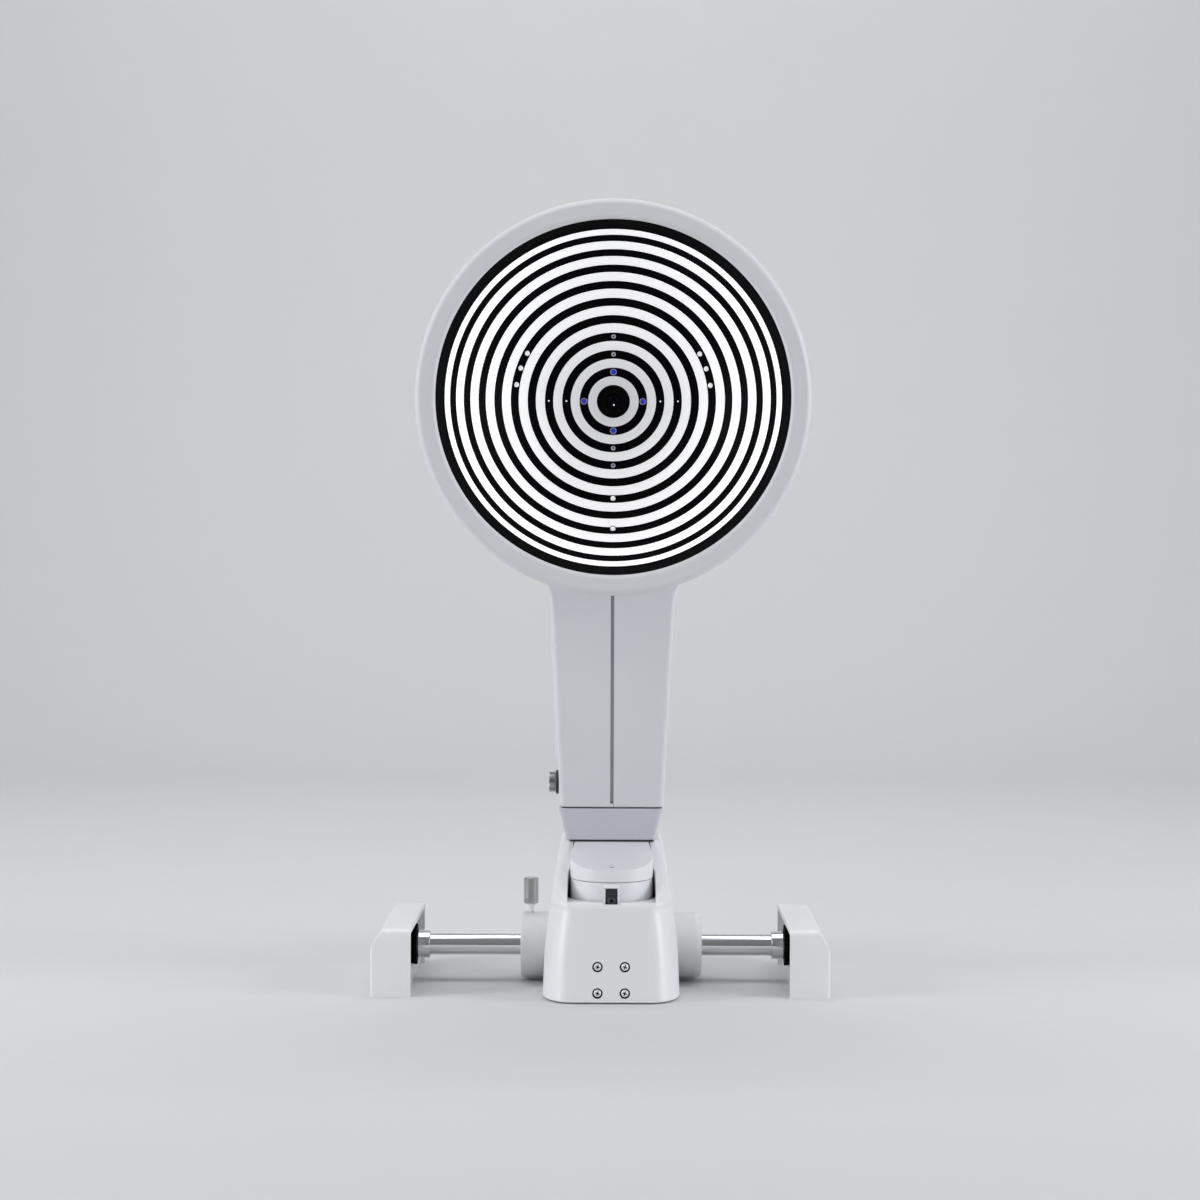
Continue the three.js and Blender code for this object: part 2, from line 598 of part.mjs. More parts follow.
const ledPlaces = [['upper', 0, 1], ['lower', 0, -1], ['left', -1, 0], ['right', 1, 0]];
for (const [place, dx, dz] of ledPlaces) {
  const x = baseX + ledReach * dx;
  const z = headZ + ledReach * dz;
  bowl = bowl.subtract(rod(2.5, -60, -40, 'y', x, 0, z, 10));
  const ledProfile = [[0, -51.8], [1.6, -51.6], [2.2, -50.8], [2.2, -44.6], [0, -44.6]];
  addPiece(`blue_lamp_${place}`, revolve(ledProfile, 'y', x, 0, z, 10), blueGlow);
}
addPiece('ring_bowl', bowl, white);
addPiece('lamp_board', ring(14, 60, -44, -42.4, 'y', baseX, 0, headZ, 28), boardGreen);

// Camera behind the centre hole
addPiece('camera_barrel', ring(10.5, 11.2, -48.4, -20, 'y', baseX, 0, headZ, 20), black);
const lensProfile = [[0, -48], [6, -47.4], [10.2, -45.8], [10.2, -43.5], [0, -43.5]];
addPiece('camera_lens', revolve(lensProfile, 'y', baseX, 0, headZ, 20), lensGlass);
addPiece('camera_body', box(baseX - 17, baseX + 17, -19.6, -7, headZ - 17, headZ + 17), darkSteel);

export default part;
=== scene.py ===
from math import atan2, cos, pi, radians, sin, tan
import bmesh
import bpy
from mathutils import Matrix, Vector


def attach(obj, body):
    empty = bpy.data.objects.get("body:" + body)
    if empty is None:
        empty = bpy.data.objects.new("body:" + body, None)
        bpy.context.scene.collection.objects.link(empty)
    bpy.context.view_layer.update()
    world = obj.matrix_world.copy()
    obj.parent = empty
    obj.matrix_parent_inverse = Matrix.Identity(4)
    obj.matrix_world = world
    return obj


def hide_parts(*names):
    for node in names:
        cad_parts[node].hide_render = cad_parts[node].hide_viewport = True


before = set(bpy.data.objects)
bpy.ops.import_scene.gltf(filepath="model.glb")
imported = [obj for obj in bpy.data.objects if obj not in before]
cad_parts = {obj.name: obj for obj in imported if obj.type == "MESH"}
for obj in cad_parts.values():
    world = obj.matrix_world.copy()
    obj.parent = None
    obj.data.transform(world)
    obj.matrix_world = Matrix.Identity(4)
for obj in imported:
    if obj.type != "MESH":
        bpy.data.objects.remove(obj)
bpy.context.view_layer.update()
scene = bpy.context.scene
millimetre = 0.001

# Places that several pieces share, in millimetres
place = {"baseX": 7.5, "axleY": 15.0, "axleZ": 25.0, "spindleY": -37.0, "headZ": 408.0,
         "stickY": 95.0, "knobY": 4.0, "knobZ": 141.5, "lockX": -57.0}
baseX = place["baseX"]
headAt = (baseX, 0, place["headZ"])
axleAt = (baseX, place["axleY"], place["axleZ"])
spindleAt = (baseX, place["spindleY"], 0)
stickAt = (baseX, place["stickY"], 0)
knobAt = (baseX, place["knobY"], place["knobZ"])
lockAt = (baseX + place["lockX"], place["axleY"], 0)
shaftAt = (0, place["axleY"], place["axleZ"])


# building meshes
def addObject(name, mesh):
    piece = bpy.data.objects.new(name, mesh)
    scene.collection.objects.link(piece)
    return piece


def fromFaces(name, points, faces):
    mesh = bpy.data.meshes.new(name)
    mesh.from_pydata([Vector(point) * millimetre for point in points], [], faces)
    mesh.validate()
    shape = bmesh.new()
    shape.from_mesh(mesh)
    bmesh.ops.remove_doubles(shape, verts=shape.verts, dist=1e-6)
    bmesh.ops.recalc_face_normals(shape, faces=shape.faces)
    if shape.calc_volume(signed=True) < 0:
        bmesh.ops.reverse_faces(shape, faces=shape.faces)
    shape.to_mesh(mesh)
    shape.free()
    return addObject(name, mesh)


def rounded(points, closed=True, steps=5):
    # rounds each corner that carries a third number, its radius
    result = []
    count = len(points)
    for i, corner in enumerate(points):
        here = Vector(corner[:2])
        radius = corner[2] if len(corner) > 2 else 0
        if radius <= 0 or (not closed and i in (0, count - 1)):
            result.append(tuple(here))
            continue
        before = Vector(points[i - 1][:2]) - here
        after = Vector(points[(i + 1) % count][:2]) - here
        reach = min(radius, before.length * 0.49, after.length * 0.49)
        start = here + before.normalized() * reach
        end = here + after.normalized() * reach
        for k in range(steps + 1):
            t = k / steps
            result.append(tuple(start * (1 - t) ** 2 + here * 2 * t * (1 - t) + end * t ** 2))
    return result


def lathe(name, profile, axis="y", at=(0, 0, 0), segments=128, steps=5):
    # profile corners are (radius, height, rounding); a corner on the axis closes the end
    outline = rounded(profile, steps=steps)
    points = []
    rings = []
    for radius, height in outline:
        if radius < 1e-5:
            rings.append([len(points)])
            points.append((0, 0, height))
            continue
        rings.append(list(range(len(points), len(points) + segments)))
        for i in range(segments):
            turn = 2 * pi * i / segments
            points.append((radius * cos(turn), radius * sin(turn), height))
    faces = []
    for k, ring in enumerate(rings):
        other = rings[(k + 1) % len(rings)]
        for i in range(segments):
            j = (i + 1) % segments
            if len(ring) == 1 and len(other) == 1:
                continue
            if len(ring) == 1:
                faces.append((ring[0], other[i], other[j]))
            elif len(other) == 1:
                faces.append((ring[j], ring[i], other[0]))
            else:
                faces.append((ring[i], ring[j], other[j], other[i]))
    turned = []
    for x, y, z in points:
        if axis == "y":
            x, y, z = x, z, y
        elif axis == "x":
            x, y, z = z, x, y
        turned.append((x + at[0], y + at[1], z + at[2]))
    return fromFaces(name, turned, faces)


def level(z, half, front, back, cornerX, cornerY, backCorner, steps=14):
    corners = [
        (half - cornerX, front + cornerY, cornerX, cornerY, -90),
        (half - backCorner, back - backCorner, backCorner, backCorner, 0),
        (-half + backCorner, back - backCorner, backCorner, backCorner, 90),
        (-half + cornerX, front + cornerY, cornerX, cornerY, 180),
    ]
    points = []
    for x, y, radiusX, radiusY, start in corners:
        for i in range(steps + 1):
            turn = radians(start + 90 * i / steps)
            points.append((baseX + x + radiusX * cos(turn), y + radiusY * sin(turn), z))
    return points


def stack(name, levels):
    count = len(levels[0])
    points = [point for ring in levels for point in ring]
    faces = []
    for k in range(len(levels) - 1):
        for i in range(count):
            a = k * count + i
            b = k * count + (i + 1) % count
            faces.append((a, b, b + count, a + count))
    faces.append(tuple(reversed(range(count))))
    last = (len(levels) - 1) * count
    faces.append(tuple(range(last, last + count)))
    return fromFaces(name, points, faces)


def prism(name, outline, start, end, along="x"):
    # an outline in the plane across the given axis, drawn out from start to end
    flat = rounded(outline)
    count = len(flat)
    points = []
    for reach in (start, end):
        for u, v in flat:
            points.append({"x": (reach, u, v), "y": (u, reach, v), "z": (u, v, reach)}[along])
    faces = [tuple(reversed(range(count))), tuple(range(count, 2 * count))]
    for i in range(count):
        j = (i + 1) % count
        faces.append((i, j, j + count, i + count))
    return fromFaces(name, points, faces)


def block(name, low, high):
    outline = [(low[0], low[1]), (high[0], low[1]), (high[0], high[1]), (low[0], high[1])]
    return prism(name, outline, low[2], high[2], along="z")


def rod(name, radius, start, end, axis, at, segments=96):
    return lathe(name, [(0, start), (radius, start), (radius, end), (0, end)], axis, at, segments)


def roundFronted(name, sections, tailY, rearY, steps=96):
    # round front, tail narrowing to the rear; sections are (height, radius, rear half)
    levels = []
    for z, radius, rearHalf in sections:
        ring = [(baseX + rearHalf, tailY, z), (baseX + rearHalf, rearY, z),
                (baseX - rearHalf, rearY, z), (baseX - rearHalf, tailY, z)]
        for k in range(steps + 1):
            turn = pi + pi * k / steps
            ring.append((baseX + radius * cos(turn), place["spindleY"] + radius * sin(turn), z))
        levels.append(ring)
    return stack(name, levels)


def settle(piece):
    # turns live modifiers into plain mesh
    graph = bpy.context.evaluated_depsgraph_get()
    mesh = bpy.data.meshes.new_from_object(piece.evaluated_get(graph))
    old = piece.data
    piece.modifiers.clear()
    piece.data = mesh
    bpy.data.meshes.remove(old)
    return piece


def combine(piece, others, operation):
    for other in others:
        step = piece.modifiers.new("join", "BOOLEAN")
        step.operation = operation
        step.object = other
        step.solver = "EXACT"
        settle(piece)
        bpy.data.objects.remove(other)
    return piece


def cut(piece, *others):
    return combine(piece, others, "DIFFERENCE")


def fuse(piece, *others):
    return combine(piece, others, "UNION")


def keepInside(piece, *others):
    return combine(piece, others, "INTERSECT")


def soften(piece, width=0.6, segments=3, angle=32):
    # small radius on every real edge, then even shading
    shape = bmesh.new()
    shape.from_mesh(piece.data)
    bmesh.ops.remove_doubles(shape, verts=shape.verts, dist=2e-6)
    bmesh.ops.dissolve_limit(shape, angle_limit=0.002, verts=shape.verts, edges=shape.edges)
    shape.to_mesh(piece.data)
    shape.free()
    if width > 0:
        step = piece.modifiers.new("edge", "BEVEL")
        step.width = width * millimetre
        step.segments = segments
        step.limit_method = "ANGLE"
        step.angle_limit = radians(angle)
        step.use_clamp_overlap = True
        settle(piece)
    return shade(piece, angle)


def shade(piece, angle=32):
    for face in piece.data.polygons:
        face.use_smooth = True
    piece.data.set_sharp_from_angle(angle=radians(angle))
    step = piece.modifiers.new("even", "WEIGHTED_NORMAL")
    step.keep_sharp = True
    return settle(piece)


def joined(name, pieces):
    # several closed shells as one piece, each keeping its own materials
    shape = bmesh.new()
    materials = []
    for piece in pieces:
        remap = []
        for slot in piece.data.materials:
            if slot not in materials:
                materials.append(slot)
            remap.append(materials.index(slot))
        for face in piece.data.polygons:
            face.material_index = remap[min(face.material_index, len(remap) - 1)] if remap else 0
        shape.from_mesh(piece.data)
    mesh = bpy.data.meshes.new(name)
    shape.to_mesh(mesh)
    shape.free()
    for slot in materials:
        mesh.materials.append(slot)
    for piece in pieces:
        bpy.data.objects.remove(piece)
    return addObject(name, mesh)


def dress(piece, *materials):
    piece.data.materials.clear()
    for material in materials:
        piece.data.materials.append(material)
    return piece


def install(piece, body, slot, *nodes):
    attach(piece, body)
    if nodes:
        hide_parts(*nodes)
    return piece


def fit(piece, material, body, slot, *nodes):
    return install(dress(piece, material), body, slot, *nodes)


def shift(piece, x, y, z):
    piece.data.transform(Matrix.Translation(Vector((x, y, z)) * millimetre))
    return piece


# node helpers
def put(tree, kind, inputs=None, **fields):
    # a new node: nodes and sockets are linked to its inputs, plain values are set on them
    node = tree.nodes.new(kind)
    for key, value in fields.items():
        setattr(node, key, value)
    for key, value in (inputs or {}).items():
        if isinstance(value, bpy.types.Node):
            value = value.outputs[0]
        if isinstance(value, bpy.types.NodeSocket):
            tree.links.new(value, node.inputs[key])
        else:
            node.inputs[key].default_value = value
    return node


def sums(tree):
    # arithmetic inside one tree
    return lambda operation, a, b=0.0, c=0.5: put(
        tree, "ShaderNodeMath", {0: a, 1: b, 2: c}, operation=operation).outputs[0]


def blend(tree, share, low, high):
    return put(tree, "ShaderNodeMix", {0: share, 2: low, 3: high}).outputs[0]


def mixColours(tree, share, low, high):
    return put(tree, "ShaderNodeMix", {0: share, 6: low, 7: high}, data_type="RGBA").outputs[2]


def noise(tree, vector, scale, detail=2.0, roughness=0.5):
    return put(tree, "ShaderNodeTexNoise", {
        "Vector": vector, "Scale": scale, "Detail": detail, "Roughness": roughness})


def addSockets(tree, inputs):
    # a first value gives the kind of its socket; a word is the kind of one that has none
    for label, value in inputs.items():
        kind = value
        if isinstance(value, tuple):
            kind = "Vector" if len(value) == 3 else "Color"
        elif not isinstance(value, str):
            kind = "Int" if isinstance(value, int) else "Float"
        socket = tree.interface.new_socket(label, in_out="INPUT", socket_type=f"NodeSocket{kind}")
        if kind != value:
            socket.default_value = value
    nodes = tree.nodes
    return tree, nodes.new("NodeGroupInput").outputs, nodes.new("NodeGroupOutput").inputs[0]


def growTree(name, inputs):
    tree = bpy.data.node_groups.new(name, "GeometryNodeTree")
    for way in ("OUTPUT", "INPUT"):
        tree.interface.new_socket("Geometry", in_out=way, socket_type="NodeSocketGeometry")
    return addSockets(tree, inputs)


def closeTree(tree, geometry, material, end):
    # instances made real, then painted
    real = put(tree, "GeometryNodeRealizeInstances", {"Geometry": geometry})
    painted = put(tree, "GeometryNodeSetMaterial", {"Geometry": real, "Material": material})
    tree.links.new(painted.outputs[0], end)
    return tree


def grow(name, tree, values, mesh=None):
    # runs a tree on an object and keeps the result as plain mesh
    piece = addObject(name, mesh or bpy.data.meshes.new(name))
    step = piece.modifiers.new("grow", "NODES")
    step.node_group = tree
    for item in tree.interface.items_tree:
        if item.in_out == "INPUT" and item.name in values:
            step[item.identifier] = values[item.name]
    return settle(piece)


def pointMesh(name, points):
    mesh = bpy.data.meshes.new(name)
    mesh.from_pydata([Vector(point) * millimetre for point in points], [], [])
    return mesh


# shader groups: each puts out one changing value or colour
def valueGroup(name, output, kind, inputs):
    group = bpy.data.node_groups.new(name, "ShaderNodeTree")
    group.interface.new_socket(output, in_out="OUTPUT", socket_type=f"NodeSocket{kind}")
    return addSockets(group, {"Vector": "Vector", **inputs})


def makeGrain():
    # height of moulded or sprayed grain: fine pebbles over a slow orange-peel wave
    group, take, end = valueGroup("grainHeight", "Height", "Float", {
        "Grain Scale": 2600.0, "Wave Scale": 90.0, "Wave Share": 0.4})
    fine = noise(group, take["Vector"], take["Grain Scale"])
    slow = noise(group, take["Vector"], take["Wave Scale"], 1.0)
    group.links.new(blend(group, take["Wave Share"], fine, slow), end)
    return group


def makeDrift():
    # colour that drifts a little over the surface
    group, take, end = valueGroup("toneDrift", "Colour", "Color", {
        "Scale": 14.0, "Colour": (0.8, 0.8, 0.8, 1), "Shade": (0.7, 0.7, 0.7, 1), "Contrast": 1.0})
    cloud = noise(group, take["Vector"], take["Scale"], 2.0, 0.45)
    share = put(group, "ShaderNodeMapRange", {
        "Value": cloud, "From Min": 0.2, "From Max": 0.8, "To Max": take["Contrast"]},
        interpolation_type="SMOOTHSTEP")
    group.links.new(mixColours(group, share, take["Colour"], take["Shade"]), end)
    return group


def makeHandling():
    # roughness with faint wipe marks and finger haze
    group, take, end = valueGroup("handlingMarks", "Roughness", "Float", {
        "Low": 0.25, "High": 0.4, "Scale": 22.0})
    stretch = put(group, "ShaderNodeMapping", {"Vector": take["Vector"], "Scale": (1.0, 1.0, 0.35)})
    haze = noise(group, stretch, take["Scale"])
    spread = put(group, "ShaderNodeMapRange", {
        "Value": haze, "From Min": 0.2, "From Max": 0.8, "To Min": take["Low"],
        "To Max": take["High"]}, interpolation_type="SMOOTHSTEP")
    group.links.new(spread.outputs[0], end)
    return group


def makeStreaks():
    # height of turning or brushing lines: noise squeezed along one axis
    group, take, end = valueGroup("toolLines", "Height", "Float", {
        "Stretch": (1.0, 0.02, 1.0), "Scale": 1500.0})
    pulled = put(group, "ShaderNodeVectorMath", {0: take["Vector"], 1: take["Stretch"]},
                 operation="MULTIPLY")
    group.links.new(noise(group, pulled, take["Scale"], 3.0, 0.7).outputs[0], end)
    return group


grainGroup = makeGrain()
driftGroup = makeDrift()
handlingGroup = makeHandling()
streakGroup = makeStreaks()


def newSurface(name, rough):
    # a material whose roughness shows handling
    material = bpy.data.materials.new(name)
    material.use_nodes = True
    tree = material.node_tree
    surface = tree.nodes["Principled BSDF"].inputs
    where = tree.nodes.new("ShaderNodeTexCoord").outputs["Object"]
    marks = put(tree, "ShaderNodeGroup", {"Vector": where, "Low": rough[0], "High": rough[1]},
                node_tree=handlingGroup)
    tree.links.new(marks.outputs[0], surface["Roughness"])
    return material, tree, surface, where


def emboss(tree, surface, where, group, values, strength, depth):
    relief = put(tree, "ShaderNodeGroup", {"Vector": where, **values}, node_tree=group)
    bump = put(tree, "ShaderNodeBump", {"Strength": strength, "Distance": depth, "Height": relief})
    tree.links.new(bump.outputs[0], surface["Normal"])


def finish(name, colour, shadeColour, rough, metal=0.0, grain=None, streaks=None, drift=(14.0, 1.0),
           **plain):
    # one material: drifting colour, handled roughness, and grain or tool lines as bump
    material, tree, surface, where = newSurface(name, rough)
    tone = put(tree, "ShaderNodeGroup", {
        "Vector": where, "Scale": drift[0], "Contrast": drift[1], "Colour": (*colour, 1),
        "Shade": (*shadeColour, 1)}, node_tree=driftGroup)
    tree.links.new(tone.outputs[0], surface["Base Color"])
    surface["Metallic"].default_value = metal
    for key, value in plain.items():
        surface[key.replace("_", " ")].default_value = value
    if grain:
        values = dict(zip(("Grain Scale", "Wave Scale", "Wave Share"), grain))
        emboss(tree, surface, where, grainGroup, values, grain[3], 0.0004)
    elif streaks:
        values = {"Stretch": streaks[0], "Scale": streaks[1]}
        emboss(tree, surface, where, streakGroup, values, streaks[2], 0.0002)
    return material


whiteGloss = finish("whiteGloss", (0.85, 0.853, 0.87), (0.835, 0.838, 0.856), (0.33, 0.36),
                    grain=(1900.0, 60.0, 0.3, 0.02), Coat_Weight=0.15, Coat_Roughness=0.3)
rimMatte = finish("rimMatte", (0.71, 0.71, 0.745), (0.695, 0.695, 0.73), (0.42, 0.5),
                  grain=(3200.0, 120.0, 0.2, 0.08))
housingMatte = finish("housingMatte", (0.68, 0.685, 0.71), (0.64, 0.645, 0.67), (0.42, 0.55),
                      grain=(2600.0, 100.0, 0.2, 0.14))
columnSatin = finish("columnSatin", (0.73, 0.74, 0.775), (0.715, 0.725, 0.76), (0.28, 0.33),
                     grain=(2800.0, 80.0, 0.3, 0.05))
castingPaint = finish("castingPaint", (0.78, 0.785, 0.79), (0.73, 0.735, 0.745), (0.5, 0.62),
                      grain=(1700.0, 140.0, 0.25, 0.22), drift=(40.0, 1.4))
# the arm's paint as footPaint, painted darker as shade on the downward-facing wedge and post
shadedArmPaint = finish("shadedArmPaint", (0.62, 0.63, 0.69), (0.60, 0.61, 0.67), (0.3, 0.34), metal=0.1,
                  grain=(2200.0, 90.0, 0.3, 0.06))
footPaint = finish("footPaint", (0.83, 0.84, 0.875), (0.81, 0.82, 0.855), (0.3, 0.36),
                   grain=(2200.0, 90.0, 0.3, 0.06))
chrome = finish("chrome", (0.80, 0.81, 0.83), (0.74, 0.75, 0.77), (0.09, 0.16), metal=1.0,
                streaks=((60.0, 1.0, 1.0), 40.0, 0.05))
knurlSteel = finish("knurlSteel", (0.50, 0.50, 0.49), (0.45, 0.45, 0.44), (0.12, 0.18), metal=1.0,
                    streaks=((1.0, 1.0, 20.0), 90.0, 0.05), drift=(60.0, 0.8))
milledSteel = finish("milledSteel", (0.88, 0.89, 0.91), (0.82, 0.83, 0.85), (0.3, 0.38), metal=0.3,
                     streaks=((1.0, 30.0, 1.0), 60.0, 0.1), drift=(30.0, 0.8))
screwSteel = finish("screwSteel", (0.92, 0.93, 0.95), (0.86, 0.87, 0.89), (0.22, 0.3), metal=0.2,
                    streaks=((1.0, 1.0, 1.0), 900.0, 0.08), drift=(120.0, 1.0))
darkAnodised = finish("darkAnodised", (0.10, 0.10, 0.11), (0.07, 0.07, 0.08), (0.35, 0.5),
                      metal=0.8, grain=(3000.0, 200.0, 0.2, 0.1))
grooveGrey = finish("grooveGrey", (0.36, 0.365, 0.40), (0.33, 0.335, 0.37), (0.5, 0.6),
                    grain=(2400.0, 100.0, 0.2, 0.1))
blackMoulded = finish("blackMoulded", (0.016, 0.016, 0.018), (0.026, 0.026, 0.028), (0.38, 0.55),
                      grain=(1500.0, 110.0, 0.2, 0.22))
blackGloss = finish("blackGloss", (0.0015, 0.0015, 0.002), (0.003, 0.003, 0.0035), (0.34, 0.42),
                    grain=(2400.0, 60.0, 0.4, 0.03), Specular_IOR_Level=0.03)
# the deepest black: for black parts, and as painted shade in recesses and gaps
blackAndPaintedShade = finish("blackAndPaintedShade", (0.002, 0.002, 0.002), (0.003, 0.003, 0.003), (0.6, 0.75),
                   grain=(1500.0, 110.0, 0.2, 0.1), Specular_IOR_Level=0.08)
rubberBlack = finish("rubberBlack", (0.022, 0.022, 0.022), (0.035, 0.034, 0.033), (0.6, 0.8),
                     grain=(1100.0, 90.0, 0.2, 0.3))
bronze = finish("bronze", (0.50, 0.34, 0.15), (0.40, 0.26, 0.11), (0.3, 0.45), metal=1.0,
                streaks=((1.0, 1.0, 1.0), 700.0, 0.15), drift=(50.0, 1.5))
boardGreen = finish("boardGreen", (0.02, 0.12, 0.06), (0.015, 0.09, 0.045), (0.25, 0.4),
                    grain=(900.0, 200.0, 0.4, 0.1))
buttonGrey = finish("buttonGrey", (0.42, 0.425, 0.44), (0.38, 0.385, 0.4), (0.3, 0.45),
                    grain=(2000.0, 90.0, 0.3, 0.12))
print("materials made")


# lit rings: colour and glow change with the distance from the bowl's axis, darker towards the
# centre as painted shade
def makeGlow(name, low, high, strength):
    material, tree, surface, where = newSurface(name, (0.3, 0.42))
    centred = put(tree, "ShaderNodeMapping", {
        "Vector": where, "Scale": (1.0, 0.0, 1.0),
        "Location": (-baseX * millimetre, 0.0, -place["headZ"] * millimetre)})
    reach = put(tree, "ShaderNodeVectorMath", {0: centred}, operation="LENGTH").outputs["Value"]
    share = put(tree, "ShaderNodeMapRange", {"Value": reach, "From Min": 0.012, "From Max": 0.055})
    tone = mixColours(tree, share, (*low, 1), (*high, 1))
    for label in ("Base Color", "Emission Color"):
        tree.links.new(tone, surface[label])
    surface["Emission Strength"].default_value = strength
    emboss(tree, surface, where, grainGroup, {"Wave Share": 0.5}, 0.05, 0.0003)
    return material


def makeResin(name, core, edge, strength, transmission=0.35):
    # clear coloured resin of a small lamp, with a slightly uneven colour
    material = finish(name, core, edge, (0.06, 0.14), grain=(3000.0, 500.0, 0.5, 0.02),
                      drift=(500.0, 1.6),
                      Transmission_Weight=transmission, Emission_Strength=strength)
    material.node_tree.nodes["Principled BSDF"].inputs["Emission Color"].default_value = (*core, 1)
    return material


ringGlow = makeGlow("ringGlow", (0.58, 0.585, 0.60), (0.93, 0.93, 0.935), 0.45)
blueResin = makeResin("blueResin", (0.01, 0.07, 0.55), (0.03, 0.03, 0.42), 0.25, 0.1)
violetResin = makeResin("violetResin", (0.42, 0.36, 0.72), (0.34, 0.28, 0.62), 0.12, 0.1)
clearResin = makeResin("clearResin", (0.66, 0.62, 0.76), (0.55, 0.5, 0.66), 0.12, 0.1)
pupilResin = makeResin("pupilResin", (0.05, 0.03, 0.07), (0.03, 0.02, 0.05), 0.0, 0.1)
whiteLampAndPaintedGlint = makeResin("whiteLampAndPaintedGlint", (0.93, 0.93, 0.95), (0.85, 0.85, 0.88), 0.5)
lensGlass = finish("lensGlass", (0.002, 0.002, 0.004), (0.004, 0.003, 0.008), (0.04, 0.08),
                   drift=(80.0, 1.2), Specular_IOR_Level=0.03)


# ring bowl
bowl = {"radius": 131.5, "firstAngle": 4.95, "angleStep": 5.1225, "stepGrowth": 0.0555,
        "bandAngle": 2.62,
        "bandGrowth": 0.085, "lastBand": 58.1, "edgeAngle": 62.84, "groove": 0.4, "rings": 10,
        "around": 288, "wall": 2.4}
sphereY = -49 - bowl["radius"]


def makeBowlTree():
    # four rows a ring: lit band at full height, then a black groove a little deeper
    tree, take, end = growTree("ringBowlTree", {
        "Sphere Radius": 0.1, "First Angle": 0.1, "Angle Step": 0.1, "Step Growth": 0.001,
        "Band Angle": 0.05, "Band Growth": 0.001, "Last Band": 1.0, "Edge Angle": 1.0,
        "Groove": 0.0004, "Rings": 10, "Around": 96, "Lit": "Material", "Dark": "Material"})
    calc = sums(tree)
    rows = calc("MULTIPLY", take["Rings"], 4)
    columns = calc("ADD", take["Around"], 1)
    sheet = put(tree, "GeometryNodeMeshGrid", {"Vertices X": columns, "Vertices Y": rows})
    index = tree.nodes.new("GeometryNodeInputIndex").outputs[0]
    row = calc("MODULO", index, rows)
    column = calc("FLOOR", calc("DIVIDE", calc("ADD", index, 0.5), rows))
    ring = calc("FLOOR", calc("DIVIDE", calc("ADD", row, 0.5), 4))
    step = calc("MODULO", row, 4)
    lip = 0.0004

    def bandStart(number):
        # the step from ring to ring grows a little towards the edge
        grown = calc("ADD", take["Angle Step"], calc("MULTIPLY", number, take["Step Growth"]))
        return calc("ADD", take["First Angle"], calc("MULTIPLY", number, grown))

    base = bandStart(ring)
    following = bandStart(calc("ADD", ring, 1))
    bandAngle = calc("ADD", take["Band Angle"], calc("MULTIPLY", ring, take["Band Growth"]))
    bandEnd = calc("MINIMUM", calc("ADD", base, bandAngle), take["Last Band"])
    polar = base
    for after, angle in ((0.5, bandEnd), (1.5, calc("ADD", bandEnd, lip)),
                         (2.5, calc("SUBTRACT", following, lip))):
        past = calc("GREATER_THAN", step, after)
        polar = blend(tree, past, polar, angle)
    lastRow = calc("GREATER_THAN", row, calc("SUBTRACT", rows, 1.5))
    polar = blend(tree, lastRow, polar, take["Edge Angle"])
    turn = calc("MULTIPLY", column, calc("DIVIDE", 2 * pi, take["Around"]))
    deeper = calc("MULTIPLY", calc("GREATER_THAN", step, 1.5), take["Groove"])
    radius = calc("ADD", take["Sphere Radius"], deeper)
    across = calc("MULTIPLY", radius, calc("SINE", polar))
    spot = put(tree, "ShaderNodeCombineXYZ", {
        "X": calc("MULTIPLY", across, calc("COSINE", turn)),
        "Y": calc("MULTIPLY", radius, calc("COSINE", polar)),
        "Z": calc("MULTIPLY", across, calc("SINE", turn))})
    bent = put(tree, "GeometryNodeSetPosition", {"Geometry": sheet, "Position": spot})
    faceRow = calc("MODULO", index, calc("SUBTRACT", rows, 1))
    isLit = calc("LESS_THAN", calc("MODULO", faceRow, 4), 0.5)
    dark = put(tree, "GeometryNodeSetMaterial", {"Geometry": bent, "Material": take["Dark"]})
    lit = put(tree, "GeometryNodeSetMaterial", {"Geometry": dark, "Selection": isLit,
              "Material": take["Lit"]})
    closed = put(tree, "GeometryNodeMergeByDistance", {"Geometry": lit, "Distance": 1e-6})
    real = put(tree, "GeometryNodeRealizeInstances", {"Geometry": closed})
    tree.links.new(real.outputs[0], end)
    return tree


def makeBowl():
    values = {label: radians(bowl[key]) for label, key in (
        ("First Angle", "firstAngle"), ("Angle Step", "angleStep"), ("Step Growth", "stepGrowth"),
        ("Band Angle", "bandAngle"), ("Band Growth", "bandGrowth"), ("Last Band", "lastBand"),
        ("Edge Angle", "edgeAngle"))}
    ringBowl = grow("ringBowl", makeBowlTree(), {
        "Sphere Radius": bowl["radius"] * millimetre, "Groove": bowl["groove"] * millimetre,
        "Rings": bowl["rings"], "Around": bowl["around"], "Lit": ringGlow, "Dark": blackGloss,
        **values})
    shift(ringBowl, baseX, sphereY, place["headZ"])
    if ringBowl.data.polygons[0].normal.y > 0:
        ringBowl.data.flip_normals()
    wall = ringBowl.modifiers.new("wall", "SOLIDIFY")
    wall.thickness = bowl["wall"] * millimetre
    wall.offset = -1
    settle(ringBowl)
    shade(ringBowl, 30)
    return install(ringBowl, "lift", "ring_plastic", "ring_bowl")


def onBowl(angle, turn, proud=0.0):
    # a spot on the bowl: angle from the axis, turn from the right-hand side, both in degrees
    radius = bowl["radius"] - proud
    reach = radius * sin(radians(angle))
    return (baseX + reach * cos(radians(turn)),
            sphereY + radius * cos(radians(angle)),
            place["headZ"] + reach * sin(radians(turn)))


